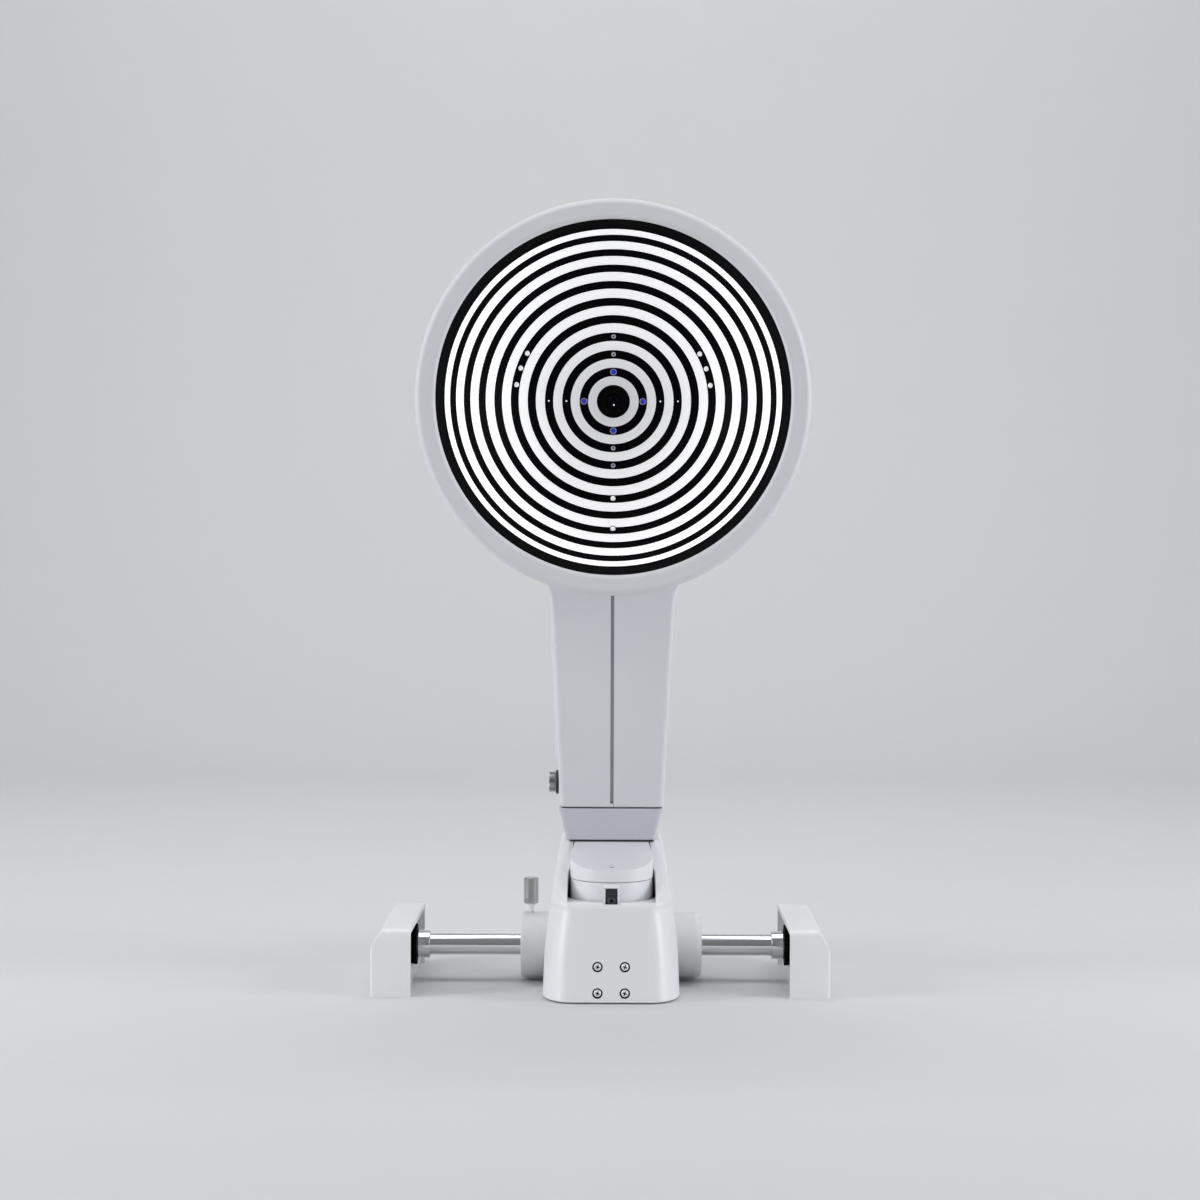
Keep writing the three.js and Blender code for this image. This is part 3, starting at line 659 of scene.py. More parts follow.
def makeSpotTree():
    # one small lens on every point of the base mesh
    tree, take, end = growTree("spotLampTree", {"Lens": "Object", "Size": 1.0, "Glass": "Material"})
    lens = put(tree, "GeometryNodeObjectInfo", {"Object": take["Lens"]})
    size = put(tree, "ShaderNodeCombineXYZ", {axis: take["Size"] for axis in "XYZ"})
    placed = put(tree, "GeometryNodeInstanceOnPoints", {
        "Points": take["Geometry"], "Instance": lens.outputs["Geometry"], "Scale": size})
    return closeTree(tree, placed, take["Glass"], end)


spotTree = makeSpotTree()
spotLamp = {"angles": (14.15, 19.6), "outerAngle": 30.45, "lowestAngle": 41.5, "blueAngle": 8.8,
            "tinyScale": 0.3, "pupilScale": 0.42, "pupilProud": 0.5}


def makeSpots(name, spots, size, material):
    lens = lathe("lensShape", [(0, -0.75), (1.1, -0.7, 0.5), (1.75, -0.25, 0.3), (1.8, 0.9),
                               (0, 0.9)], "y",
                 segments=20)
    piece = grow(name, spotTree, {"Lens": lens, "Size": size, "Glass": material},
                 pointMesh(name, spots))
    bpy.data.objects.remove(lens)
    shade(piece, 50)
    return install(piece, "lift", "lens")


makeBowl()
upAndDown = [onBowl(angle, turn) for angle in spotLamp["angles"] for turn in (90, -90)]
makeSpots("clearSpotLamps", upAndDown, 0.9, clearResin)
pupils = [onBowl(angle, turn, spotLamp["pupilProud"])
          for angle in spotLamp["angles"] for turn in (90, -90)]
makeSpots("spotLampPupils", pupils, spotLamp["pupilScale"], pupilResin)
leftAndRight = [onBowl(angle, turn) for angle in spotLamp["angles"] for turn in (0, 180)]
makeSpots("tinySpotLamps", leftAndRight, spotLamp["tinyScale"], whiteLampAndPaintedGlint)
outerSpots = [onBowl(spotLamp["outerAngle"], side)
              for rise in (9, 19, 28.5) for side in (rise, 180 - rise)]
outerSpots += [onBowl(spotLamp[key], -90) for key in ("outerAngle", "lowestAngle")]
makeSpots("whiteSpotLamps", outerSpots, 1.0, whiteLampAndPaintedGlint)
darkRims = []
for spot in upAndDown + outerSpots:
    darkRims.append(lathe("spotRim", [(1.75, -0.3), (2.25, -0.25), (2.25, 0.9), (1.75, 0.9)], "y",
                          spot, 28))
fit(shade(joined("spotLampRims", darkRims)), blackGloss, "lift", "black_plastic")
for side, turn in (("upper", 90), ("lower", -90), ("left", 180), ("right", 0)):
    spot = onBowl(spotLamp["blueAngle"], turn)
    domeProfile = [(0, -1.0), (1.1, -0.9, 0.6), (1.65, -0.3, 0.3), (1.65, 5.8), (0, 5.8)]
    dome = lathe("lampDome", domeProfile, "y", spot, 40)
    cup = lathe("lampCup", [(1.7, -0.7, 0.1), (2.25, -0.55, 0.2), (2.25, 5.6), (1.7, 5.6)], "y",
                spot, 40)
    lamp = shade(joined(f"blueLamp{side.capitalize()}",
                        [dress(dome, blueResin), dress(cup, violetResin)]))
    install(lamp, "lift", "blue_lamp", f"blue_lamp_{side}")
print("bowl and lamps made")

# rim, rear housing and camera
rim = {"outer": 130.8, "inner": 117.2, "front": -125.0, "back": -104.6}
rimPiece = lathe("bowlRim", [
    (rim["inner"], -120.9, 0.2), (rim["inner"], -123.4, 1.2), (119.2, rim["front"], 1.6),
    (128.0, rim["front"], 1.5), (rim["outer"], -122.6, 3.2), (rim["outer"], rim["back"], 0.8),
    (129.3, rim["back"], 0.3), (129.3, -120.9, 0.3)], "y", headAt, 288)
fit(shade(rimPiece), rimMatte, "lift", "pale_shell", "bowl_rim")

housing = {"ventCount": 7, "ventGap": 6.5, "ventHeight": 44.0, "ventWidth": 2.6, "screwReach": 55.0}
shellOutline = [
    (0, 0), (60, 0, 4), (71, -3.2, 8), (100, -35, 40), (120, -66, 36), (128, -92, 16),
    (129, -104.3, 0.8),
    (129, -118.4, 0.3), (126, -118.4, 0.3), (126, -104.3, 4), (125, -92.6, 14), (117.2, -67.3, 34),
    (97.8, -37.2, 38), (68.7, -5.9, 6), (58, -3, 4), (0, -3)]
housingPiece = lathe("rearHousing", shellOutline, "y", headAt, 256, 10)


def makeSlotTree():
    # a row of upright slot cutters, centred on the origin
    tree, take, end = growTree("slotRowTree", {
        "Count": 7, "Gap": 0.006, "Width": 0.0025, "Height": 0.04, "Depth": 0.01,
        "Finish": "Material"})
    calc = sums(tree)
    span = calc("MULTIPLY", take["Gap"], calc("SUBTRACT", take["Count"], 1))
    first = put(tree, "ShaderNodeCombineXYZ", {"X": calc("MULTIPLY", span, -0.5)})
    stride = put(tree, "ShaderNodeCombineXYZ", {"X": take["Gap"]})
    row = put(tree, "GeometryNodeMeshLine", {"Count": take["Count"], "Start Location": first,
              "Offset": stride})
    size = put(tree, "ShaderNodeCombineXYZ", {"X": take["Width"], "Y": take["Depth"],
                                              "Z": take["Height"]})
    bar = put(tree, "GeometryNodeMeshCube", {"Size": size})
    half = calc("MULTIPLY", take["Width"], 0.5)
    drum = put(tree, "GeometryNodeMeshCylinder",
               {"Vertices": 20, "Radius": half, "Depth": take["Depth"]})
    flat = put(tree, "GeometryNodeTransform", {"Geometry": drum, "Rotation": (pi / 2, 0, 0)})
    slot = put(tree, "GeometryNodeMeshBoolean", {"Mesh 2": bar}, operation="UNION")
    for share in (0.5, -0.5):
        lift = put(tree, "ShaderNodeCombineXYZ", {"Z": calc("MULTIPLY", take["Height"], share)})
        roundEnd = put(tree, "GeometryNodeTransform", {"Geometry": flat, "Translation": lift})
        tree.links.new(roundEnd.outputs[0], slot.inputs["Mesh 2"])
    placed = put(tree, "GeometryNodeInstanceOnPoints", {"Points": row, "Instance": slot})
    return closeTree(tree, placed, take["Finish"], end)


slotTree = makeSlotTree()


def slotRow(count, gapWidth, width, height, depth, at):
    cutter = grow("slotCutter", slotTree, {
        "Count": count, "Gap": gapWidth * millimetre, "Width": width * millimetre,
        "Height": height * millimetre, "Depth": depth * millimetre, "Finish": blackMoulded})
    return shift(cutter, *at)


cut(housingPiece, slotRow(housing["ventCount"], housing["ventGap"], housing["ventWidth"],
                          housing["ventHeight"], 12, (baseX, 0, place["headZ"] + 18)))
screwSpots = [(baseX + housing["screwReach"] * cos(radians(turn)), 0,
               place["headZ"] + housing["screwReach"] * sin(radians(turn)))
              for turn in (45, 135, 225, 315)]
for spot in screwSpots:
    cut(housingPiece, rod("pocket", 4.2, -1.6, 2, "y", spot, 32))
fit(soften(housingPiece, 0.35, 2, 38), housingMatte, "lift", "pale_shell", "rear_housing")


# screws: one head shape, placed on every point
def makeScrewHead(radius, height):
    # pan head with a cross recess, its top towards -Y
    head = lathe("screwHead", [(0, -height), (radius * 0.62, -height * 0.95, radius * 0.3),
                 (radius, -height * 0.35, height * 0.4), (radius, 0.6), (0, 0.6)], "y", segments=40)
    cut(head, makeCross(radius * 0.62, radius * 0.17, -height * 1.6, -height * 0.1))
    return soften(head, 0.06, 2, 40)


def makeCross(reach, half, start, end):
    # the two crossed blades of a recess, turned a little from upright
    blades = []
    for turn in (radians(20), radians(110)):
        blade = block("blade", (-reach, start, -half), (reach, end, half))
        blade.data.transform(Matrix.Rotation(turn, 4, "Y"))
        blades.append(blade)
    return fuse(blades[0], blades[1])


def makeScrews(name, spots, radius, height, body, slot, facing=1, nodes=(), metal=None):
    head = makeScrewHead(radius, height)
    # a black cross inside each head's recess: painted shade
    floor = makeCross(radius * 0.58, radius * 0.14, -height * 0.5, -height * 0.12)
    for shape in (head, floor):
        if facing < 0:
            shape.data.transform(Matrix.Rotation(pi, 4, "Z"))
    piece = grow(name, spotTree, {"Lens": head, "Size": 1.0, "Glass": metal or screwSteel},
                 pointMesh(name, spots))
    recess = grow(name + "Recess", spotTree, {"Lens": floor, "Size": 1.0, "Glass": blackAndPaintedShade},
                  pointMesh(name + "Recess", spots))
    bpy.data.objects.remove(head)
    bpy.data.objects.remove(floor)
    return install(shade(joined(name, [piece, recess]), 35), body, slot, *nodes)


makeScrews("housingScrews", [(x, -0.6, z) for x, y, z in screwSpots], 3.2, 1.3, "lift",
           "polished_steel", -1)

barrelProfile = [
    (10.5, -48.3, 0.2), (11.2, -48.3, 0.2), (11.2, -40, 0.2), (10.95, -39.8), (10.95, -37.2),
    (11.2, -37, 0.2), (11.2, -20.2), (10.5, -20.2)]
barrel = lathe("cameraBarrel", barrelProfile, "y", headAt, 96)
baffle = lathe("cameraBaffle", [(5.6, -46.0), (10.4, -45.4), (10.4, -44.9), (5.6, -45.5)], "y",
               headAt, 96)
fit(shade(joined("cameraBarrelPiece", [barrel, baffle])), blackAndPaintedShade, "lift", "black_plastic",
    "camera_barrel")
lensPiece = lathe("cameraLens", [(0, -46.9), (2.6, -46.6, 2), (5.3, -45.2, 0.3), (5.3, -43.6),
                                 (0, -43.6)], "y",
                  headAt, 96)
fit(shade(lensPiece), lensGlass, "lift", "lens", "camera_lens")
# a small white glowing disc on the lens: painted glint
glint = lathe("lensGlint", [(0, -47.15), (0.5, -47.05), (0.5, -46.7), (0, -46.7)], "y",
              (baseX + 0.3, 0, place["headZ"] - 2.3), 20)
fit(shade(glint), whiteLampAndPaintedGlint, "lift", "lens")
print("head made")

# column: two halves, groove strip, service cover
column = {"wall": 3.0, "grooveHalf": 1.1}
columnLevels = [
    (126, 35.3, -15.2, 43.2, 4.2), (126.6, 35.9, -15.9, 43.6, 4.4), (128, 36.3, -16.6, 43.5, 4.5),
    (150, 37.25, -22.8, 37.5, 4.4), (200, 39.4, -37, 24, 4.0), (240, 41.1, -48.9, 11.9, 3.6),
    (262, 42.1, -55.4, 5.3, 3.2), (270, 42.6, -57.8, 3.0, 3.0), (275, 43.2, -59.3, 2.2, 2.8),
    (279, 44.2, -60.4, 1.8, 2.6), (283, 46.0, -61.5, 1.5, 2.2), (288, 49.0, -63, 1.0, 1.8),
    (295, 50.0, -64.4, 0.4, 1.5), (348, 50.0, -70, -5, 1.5)]


def columnStack(name, grown, reach):
    levels = []
    for i, (z, half, front, back, corner) in enumerate(columnLevels):
        z += -reach if i == 0 else reach if i == len(columnLevels) - 1 else 0
        inner = corner if grown >= 0 else 1.0
        levels.append(level(z, half + grown, front - grown, back + grown, inner, inner, 8 + grown,
                            10))
    return stack(name, levels)


def headEnvelope():
    outline = [(0, -130), (131.2, -130), (131.2, -104), (128.4, -91.8, 16), (120.4, -65.6, 36),
               (100.4, -34.6, 40), (71, -2.6, 8), (60, 0.4, 4), (0, 0.4)]
    return lathe("headSpace", outline, "y", headAt, 192, 8)


shell = columnStack("columnShell", 0, 0)
cut(shell, columnStack("columnInside", -column["wall"], 1), headEnvelope())
for side, sign in (("left", -1), ("right", 1)):
    half = shell.copy()
    half.data = shell.data.copy()
    half.name = f"{side}ColumnCover"
    scene.collection.objects.link(half)
    inner = baseX + sign * column["grooveHalf"]
    outer = baseX + sign * 90
    space = block("halfSpace", (min(inner, outer), -90, 100), (max(inner, outer), 90, 360))
    if side == "left":
        fuse(space, block("tongueSpace", (baseX - 5, -90, 100), (baseX + 0.8, -2, 128.7)))
    keepInside(half, space)
    if side == "left":
        cut(half, rod("knobHole", 2.8, -50, 0, "x", knobAt, 40))
    soften(half, 0.5, 3, 30)
    fit(half, columnSatin, "lift", "grey_column", f"{side}_column_cover")
bpy.data.objects.remove(shell)
strip = stack("grooveStrip", [level(127, 5, -12.4, -10.6, 0.4, 0.4, 0.4, 2),
                              level(276, 5, -55.6, -53.8, 0.4, 0.4, 0.4, 2)])
rib = stack("grooveRib", [
    level(z, 0.85, front, front + 4.2, 0.2, 0.2, 0.2, 2)
    for z, front in ((130, -16.4), (150, -22.1), (200, -36.3), (240, -48.2), (262, -54.7),
                     (275, -58.5))])
fuse(strip, rib)
fit(soften(strip, 0.1, 2), grooveGrey, "lift", "dark_metal", "groove_strip")

flank = stack("leftServiceCover", [
    level(154.5, 38.0, 3.5, 25, 2, 2, 2, 8), level(156.5, 38.7, 0.6, 26, 2, 2, 2, 8),
    level(160, 39.9, -2.2, 26, 2, 2, 2, 8), level(257, 42.75, -30.4, -8, 2, 2, 2, 8),
    level(262, 42.85, -30.9, -9.4, 2, 2, 2, 8)])
cut(flank, columnStack("columnGrown", 0.3, 0))
keepInside(flank, block("leftSpace", (baseX - 80, -80, 100), (baseX - 20, 80, 320)))
fit(soften(flank, 0.3, 3, 30), columnSatin, "lift", "pale_shell", "left_side_cover")

# arm casting and foot
armBlock = block("armCasting", (baseX - 26, -8.7, 80.4), (baseX + 26, 34, 103.5))
wedge = stack("wedge", [
    level(102.5, 30.0, -9.2, 43.6, 3.0, 3.0, 4, 8), level(103.1, 30.8, -9.3, 44, 3.4, 3.4, 4, 8),
    level(124.3, 36.2, -15.7, 44, 4.0, 4.0, 4, 8), level(125.0, 35.6, -15.2, 43.4, 3.8, 3.8, 4, 8)])
shift(wedge, -0.9, 0, 0)
post = stack("post", [level(124.5, 20, -4, 34, 3, 3, 3, 6), level(330, 20, -59, -27, 3, 3, 3, 6)])
cut(post, headEnvelope())
fuse(armBlock, wedge, post)
# wedge and post in the darker copy of the arm's paint: painted shade
fit(soften(armBlock, 0.5, 3, 30), shadedArmPaint, "lift", "arm_paint", "arm_casting")
# thin black strips in the gaps above and below the wedge: painted shade
columnGasket = stack("columnGasket", [
    level(z, 35.0, -14.7, 42.6, 3.4, 3.4, 4, 8) for z in (125.05, 125.95)])
cut(columnGasket, block("postSpace", (baseX - 20.4, -4.8, 120), (baseX + 20.4, 34.4, 130)))
footGasket = block("footGasket", (baseX - 29.5, -9.25, 101.2), (baseX + 29.5, -8.75, 102.4))
for shadeStrip in (columnGasket, footGasket):
    fit(soften(shadeStrip, 0.1, 2), rubberBlack, "lift", "black_plastic")
cap = lathe("armCap", [(0, -1.6), (1.5, -1.5, 0.8), (2.1, -0.5, 0.4), (2.1, 1.2), (0, 1.2)], "x",
            (baseX - 35.6, 6, 121.8), 32)
fit(shade(cap), footPaint, "lift", "arm_paint")

foot = {"radius": 28.5, "flange": 28.3, "rearHalf": 26.0}
footPlan = roundFronted("footPlate", [(z, foot["radius"], foot["rearHalf"]) for z in (70, 110)],
                        -9.8, -9.3)
side = prism("footSide", [(-66, 80.4), (-66, 87.7), (-9.3, 101), (-9.3, 80.4)], baseX - 32,
             baseX + 32)
keepInside(footPlan, side)
cut(footPlan, lathe("dimple",
                    [(0, 84.4), (3.2, 84.4), (3.2, 89.0), (6.4, 93.4), (6.4, 96), (0, 96)], "z",
                    (baseX, -54, 0), 64))
fit(soften(footPlan, 0.9, 4, 30), footPaint, "lift", "arm_paint", "foot_plate")
# a dark cup lining the dimple's bore: painted shade
dimpleCup = lathe("dimpleCup", [(0, 84.5), (3.1, 84.5), (3.1, 88.9, 0.2), (2.7, 88.9), (2.7, 86.2),
                                (0, 86.2)], "z",
                  (baseX, -54, 0), 48)
fit(shade(dimpleCup), darkAnodised, "lift", "arm_paint")

flange = roundFronted("footFlange", [(z, foot["flange"], foot["rearHalf"]) for z in (55, 80)], -9.3,
                      34)
fit(soften(flange, 0.6, 3, 34), footPaint, "lift", "boss_paint", "foot_flange")
stop = prism("stopBlock", [(-69.3, 60), (-69.3, 77.2, 0.6), (-67.4, 79.5, 0.5), (-65.7, 79.5),
                           (-65.7, 60)],
             baseX - 5.5, baseX + 5.5)
cut(stop, rod("flangeSpace", foot["flange"] + 0.3, 50, 90, "z", spindleAt, 192),
    block("recess", (baseX - 4.15, -70, 61.5), (baseX + 4.15, -68.5, 77)),
    rod("stopHole", 1.5, -70, -60, "y", (baseX, 0, 68.5), 32))
fit(soften(stop, 0.25, 3, 30), whiteGloss, "lift", "white_shell", "stop_block")
pad = block("stopPad", (baseX - 4.05, -68.9, 61.6), (baseX + 4.05, -68.55, 76.9))
cut(pad, rod("stopHole", 1.5, -70, -60, "y", (baseX, 0, 68.5), 32))
fit(soften(pad, 0.08, 2), blackMoulded, "lift", "black_plastic")
makeScrews("stopScrewHead", [(baseX, -69.3, 68.5)], 2.7, 0.9, "lift", "polished_steel",
           nodes=("stop_screw",), metal=darkAnodised)
shaft = lathe("spindlePiece", [(0, 12), (12, 12, 1), (12, 54.6, 0.4), (0, 54.6)], "z", spindleAt,
              128)
fit(shade(shaft), chrome, "lift", "polished_steel", "spindle")
guide = lathe("spindleGuide", [(12.1, 10.4), (19, 10.4, 0.6), (19, 15), (16.5, 16.5), (16.5, 48),
                               (19, 49.5),
              (19, 53.9, 0.6), (12.1, 53.9)], "z", spindleAt, 128)
fit(shade(guide), darkAnodised, "base", "dark_metal", "spindle_guide")
print("column, arm and foot made")

# tower cover
tower = {"wall": 3.2, "front": -78.0, "lipY": -71.0, "lipZ": 66.5, "top": 102.0, "back": 40.0,
         "slot": 30.2, "slotRear": 27.2, "slotTop": 29.2, "slotTopRear": 26.8, "ledge": 67.2,
         "slopeFoot": 68.5, "slopeRun": 60.0, "roll": 6.5, "rollZ": 62.0, "rollSteps": 10}


def noseY(z):
    return tower["front"] + (tower["lipY"] - tower["front"]) * z / tower["lipZ"]


def halfAt(z):
    table = [(0, 47.0), (31, 45.9), (49, 44.0), (62, 42.3), (72, 40.8), (92, 37.3), (98, 36.0)]
    for (z0, h0), (z1, h1) in zip(table, table[1:]):
        if z <= z1:
            return h0 + (h1 - h0) * (z - z0) / (z1 - z0)
    return table[-1][1]


def makeTowerLevels():
    rows = [(1.0, 0.5, 20.2, 30.6), (1.5, 0, 20.6, 31)]
    rows += [(z, 0, 20.6, 31) for z in (8, 16, 24, 31, 40, 49, 56, 60)]
    levels = [level(z, halfAt(z) - inset, noseY(z) + inset, tower["back"], cx, cy, 3, 20)
              for z, inset, cx, cy in rows]
    # the lip rolls over from the front face to the sloping top
    roll = tower["roll"]
    slopeAngle = atan2(tower["top"] - tower["slopeFoot"], tower["slopeRun"])
    pitch = radians(90) - slopeAngle
    middleZ = tower["rollZ"]
    middleY = noseY(middleZ) + roll
    for k in range(1, tower["rollSteps"] + 1):
        turn = pitch * k / tower["rollSteps"]
        z = middleZ + roll * sin(turn)
        y = middleY - roll * cos(turn)
        fall = k / tower["rollSteps"]
        corner = (20.6 - 6.0 * fall, 31 - 8.5 * fall)
        levels.append(level(z, halfAt(z), y, tower["back"], *corner, 3, 20))
    startZ = middleZ + roll * sin(pitch)
    startY = middleY - roll * cos(pitch)
    for z in (69.2, 70.5, 72, 74, 76.5, 80, 84, 88, 92, 96, 98):
        y = startY + (z - startZ) / tan(slopeAngle)
        fall = min(1.0, (z - startZ) / 13.0)
        ease = 1 - (1 - fall) ** 1.6
        corner = (14.6 - 9.8 * ease, 22.5 - 13.5 * ease)
        levels.append(level(z, halfAt(z), y, tower["back"], *corner, 3, 20))
    for z, inset in ((99.6, 0.45), (100.8, 1.2), (101.6, 2.3), (tower["top"], 3.6)):
        y = startY + (z - startZ) / tan(slopeAngle)
        levels.append(level(z, 36 - inset, y, tower["back"] - inset * 0.6, 4.8, 9, 3, 20))
    return levels


towerPiece = stack("towerCover", makeTowerLevels())
hollow = stack("towerHollow", [
    level(z, half, noseY(z) + tower["wall"], 60, 17.4, 27.8, 3)
    for z, half in ((0, 43.8), (31, 42.7), (58, 39.5))])
slotCutter = roundFronted("towerSlot", [
    (50, tower["slot"], tower["slotRear"]), (tower["ledge"], tower["slot"], tower["slotRear"]),
    (84, tower["slotTop"], tower["slotTopRear"]), (110, tower["slotTop"], tower["slotTopRear"])],
    -9.0, 36.5)
ledge = block("towerLedge", (baseX - tower["slot"], -90, tower["ledge"]),
              (baseX + tower["slot"], -37, 110))
notch = block("towerNotch", (baseX - 5.8, -69.9, 57), (baseX + 5.8, -60, 90))
fuse(slotCutter, ledge, notch)
cut(towerPiece, hollow, slotCutter)
boss = {"radius": 23.0, "half": 63.8, "clear": 23.5}


def bossSpace():
    clear = boss["clear"]
    middleY = place["axleY"]
    space = rod("bossSpace", clear, -80, 80, "x", axleAt, 128)
    floor = block("bossFloor", (baseX - 80, middleY - clear, -1),
                  (baseX + 80, middleY + clear, place["axleZ"]))
    return fuse(space, floor)


cut(towerPiece, bossSpace())
coverScrews = [(baseX + dx, noseY(z), z) for dx in (-9.25, 9.25) for z in (24.7, 7.2)]
for spot in coverScrews:
    cut(towerPiece, rod("screwPocket", 3.55, -8, 1.6, "y", spot, 48))
fit(soften(towerPiece, 0.9, 4, 34), whiteGloss, "base", "white_shell", "tower_cover")
# black rings in the screw pockets around each screw: painted shade
pocketShadeProfile = [(2.75, 0.7), (3.5, 0.35, 0.15), (3.5, 1.55), (0, 1.55), (0, 1.2), (2.75, 1.2)]
pocketShadeRings = [lathe("liner", pocketShadeProfile, "y", spot, 40) for spot in coverScrews]
fit(shade(joined("screwLiners", pocketShadeRings)), blackAndPaintedShade, "base", "white_shell")
makeScrews("coverScrews", [(x, y + 0.9, z) for x, y, z in coverScrews], 2.55, 1.2, "base",
           "polished_steel",
           nodes=("cover_screw_upper_left", "cover_screw_upper_right", "cover_screw_lower_left",
                  "cover_screw_lower_right"))
print("tower cover made")

# base casting with its bosses
plate = stack("baseCasting", [
    level(z, 40 - inset, -71 + inset, 118 - inset, 18, 28, 20, 12)
    for z, inset in ((3, 0.4), (3.4, 0), (9.6, 0), (10, 0.4))])
bosses = lathe("bosses", [
    (0, -boss["half"]), (boss["radius"], -boss["half"], 1.9), (boss["radius"], boss["half"], 5.5),
    (0, boss["half"])], "x", axleAt, 192, 8)
fuse(plate, block("axleBlock", (baseX - 34, -6, 9), (baseX + 34, 36, 46)), bosses)
cut(plate, rod("axleBore", 10.6, -70, 70, "x", axleAt, 96),
    rod("lockHole", 2.5, 35.4, 50, "z", lockAt, 40))
fit(soften(plate, 0.4, 3, 34), castingPaint, "base", "boss_paint", "base_casting")
for side, start in (("left", -63.4), ("right", 51.3)):
    outline = [(7.6, start, 0.3), (10.3, start, 0.3), (10.3, start + 12, 0.3),
               (7.6, start + 12, 0.3)]
    bush = lathe(f"{side}Bush", outline, "x", axleAt, 96)
    fit(shade(bush), bronze, "base", "bush_bronze", f"{side}_bush")

# rear cover, sockets, skid
rearLevels = [level(1, 46.6, 40.3, 124.6, 1, 1, 22, 16), level(1.6, 47.0, 40.3, 125, 1, 1, 22, 16),
              level(31, 45.9, 40.3, 125, 1, 1, 22, 16), level(52, 43.6, 40.3, 125, 1, 1, 22, 16)]
for k in range(1, 9):
    turn = radians(90) * k / 8
    inset = 8 * (1 - cos(turn))
    rearLevels.append(level(54 + 8 * sin(turn), 43.4 - inset * 0.8, 40.3, 125 - inset,
                            1, 1, 22 - inset * 0.4, 16))
rear = stack("rearCover", rearLevels)
rearHollow = stack("rearHollow", [level(0, 43.8, 30, 122, 1, 1, 19),
                                  level(54, 40, 30, 122, 1, 1, 19),
                                  level(58.8, 34, 30, 114, 1, 1, 18)])
cut(rear, rearHollow, bossSpace(), rod("stickHole", 20.5, 50, 70, "z", stickAt, 96))
sockets = {"power": (-14, 12, 9, 3), "data": (12, 9, 8, 4)}
for name, (dx, width, height, count) in sockets.items():
    x0 = baseX + dx - width / 2
    z0 = 24 - height / 2
    cut(rear, block("socketWindow", (x0 - 2.2, 118, z0 - 2.2),
                    (x0 + width + 2.2, 130, z0 + height + 2.2)))
    body = block(f"{name}Socket", (x0 - 1.9, 110, z0 - 1.9),
                 (x0 + width + 1.9, 124.5, z0 + height + 1.9))
    cut(body, block("mouth", (x0, 113, z0), (x0 + width, 130, z0 + height)))
    soften(body, 0.35, 3, 34)
    dress(body, blackMoulded)
    pins = []
    for k in range(count):
        pinX = x0 + width * (k + 0.5) / count
        pins.append(dress(rod("pin", 0.55, 111, 117.5, "y", (pinX, 0, 24), 16), screwSteel))
    install(shade(joined(f"{name}SocketPiece", [body] + pins)), "base", "black_plastic",
            f"{name}_socket")
cut(rear, slotRow(9, 6, 2.2, 10, 14, (baseX, 122, 44)))
fit(soften(rear, 0.5, 3, 34), whiteGloss, "base", "white_shell", "rear_cover")
skid = lathe("glideSkid", [(0, 0), (14, 0, 1.6), (14, 2.7, 0.4), (0, 2.7)], "z", (baseX, 104, 0),
             96)
fit(shade(skid), rubberBlack, "base", "black_plastic", "glide_skid")
print("base made")

# knobs with straight knurling
def makeKnurlTree():
    # a cylinder whose rows of points go in and out round the axis, drawn in at both ends
    tree, take, end = growTree("knurlTree", {
        "Radius": 0.005, "Height": 0.018, "Ridges": 36, "Depth": 0.0003, "Chamfer": 0.0005,
        "Metal": "Material"})
    calc = sums(tree)
    around = calc("MULTIPLY", take["Ridges"], 4)
    drum = put(tree, "GeometryNodeMeshCylinder",
               {"Vertices": around, "Side Segments": 5, "Radius": 1.0, "Depth": take["Height"]})
    index = tree.nodes.new("GeometryNodeInputIndex").outputs[0]
    position = tree.nodes.new("GeometryNodeInputPosition").outputs[0]
    parts = put(tree, "ShaderNodeSeparateXYZ", {0: position})
    low = calc("GREATER_THAN", calc("MODULO", index, 4), 1.5)
    height = calc("ABSOLUTE", parts.outputs["Z"])
    half = calc("MULTIPLY", take["Height"], 0.5)
    outerRow = calc("GREATER_THAN", height, calc("MULTIPLY", half, 0.95))
    innerRow = calc("GREATER_THAN", height, calc("MULTIPLY", half, 0.5))
    plainRow = calc("MULTIPLY", calc("SUBTRACT", 1.0, outerRow), low)
    radius = calc("SUBTRACT", take["Radius"], calc("MULTIPLY", plainRow, take["Depth"]))
    radius = calc("SUBTRACT", radius, calc("MULTIPLY", outerRow, take["Chamfer"]))
    rise = blend(tree, innerRow, height, calc("SUBTRACT", half, take["Chamfer"]))
    rise = blend(tree, outerRow, rise, half)
    rise = calc("MULTIPLY", rise, calc("SIGN", parts.outputs["Z"]))
    spot = put(tree, "ShaderNodeCombineXYZ", {"X": calc("MULTIPLY", parts.outputs["X"], radius),
               "Y": calc("MULTIPLY", parts.outputs["Y"], radius), "Z": rise})
    bent = put(tree, "GeometryNodeSetPosition", {"Geometry": drum, "Position": spot})
    return closeTree(tree, bent, take["Metal"], end)


knurlTree = makeKnurlTree()


def knurled(name, radius, height, ridges, depth, chamfer, metal=None):
    return grow(name, knurlTree, {
        "Radius": radius * millimetre, "Height": height * millimetre, "Ridges": ridges,
        "Depth": depth * millimetre, "Chamfer": chamfer * millimetre, "Metal": metal or knurlSteel})


head = knurled("lockHead", 5.2, 18.0, 38, 0.28, 0.5)
shift(head, lockAt[0], lockAt[1], 63.3)
stemProfile = [(0, 36), (1.7, 36, 0.4), (1.7, 51.5, 0.3), (2.6, 52.4, 0.3), (2.6, 54.6), (0, 54.6)]
stem = lathe("lockStem", stemProfile, "z", lockAt, 64)
topProfile = [(0, 71.6), (4.1, 71.6), (4.1, 72.35, 0.3), (3.4, 72.4, 0.2), (3.1, 72.1), (0, 72.1)]
topCap = lathe("lockTop", topProfile, "z", lockAt, 64)
lockPieces = [head, dress(stem, screwSteel), dress(topCap, knurlSteel)]
install(shade(joined("baseLockScrew", lockPieces), 24), "base_lock", "polished_steel",
        "base_lock_screw")

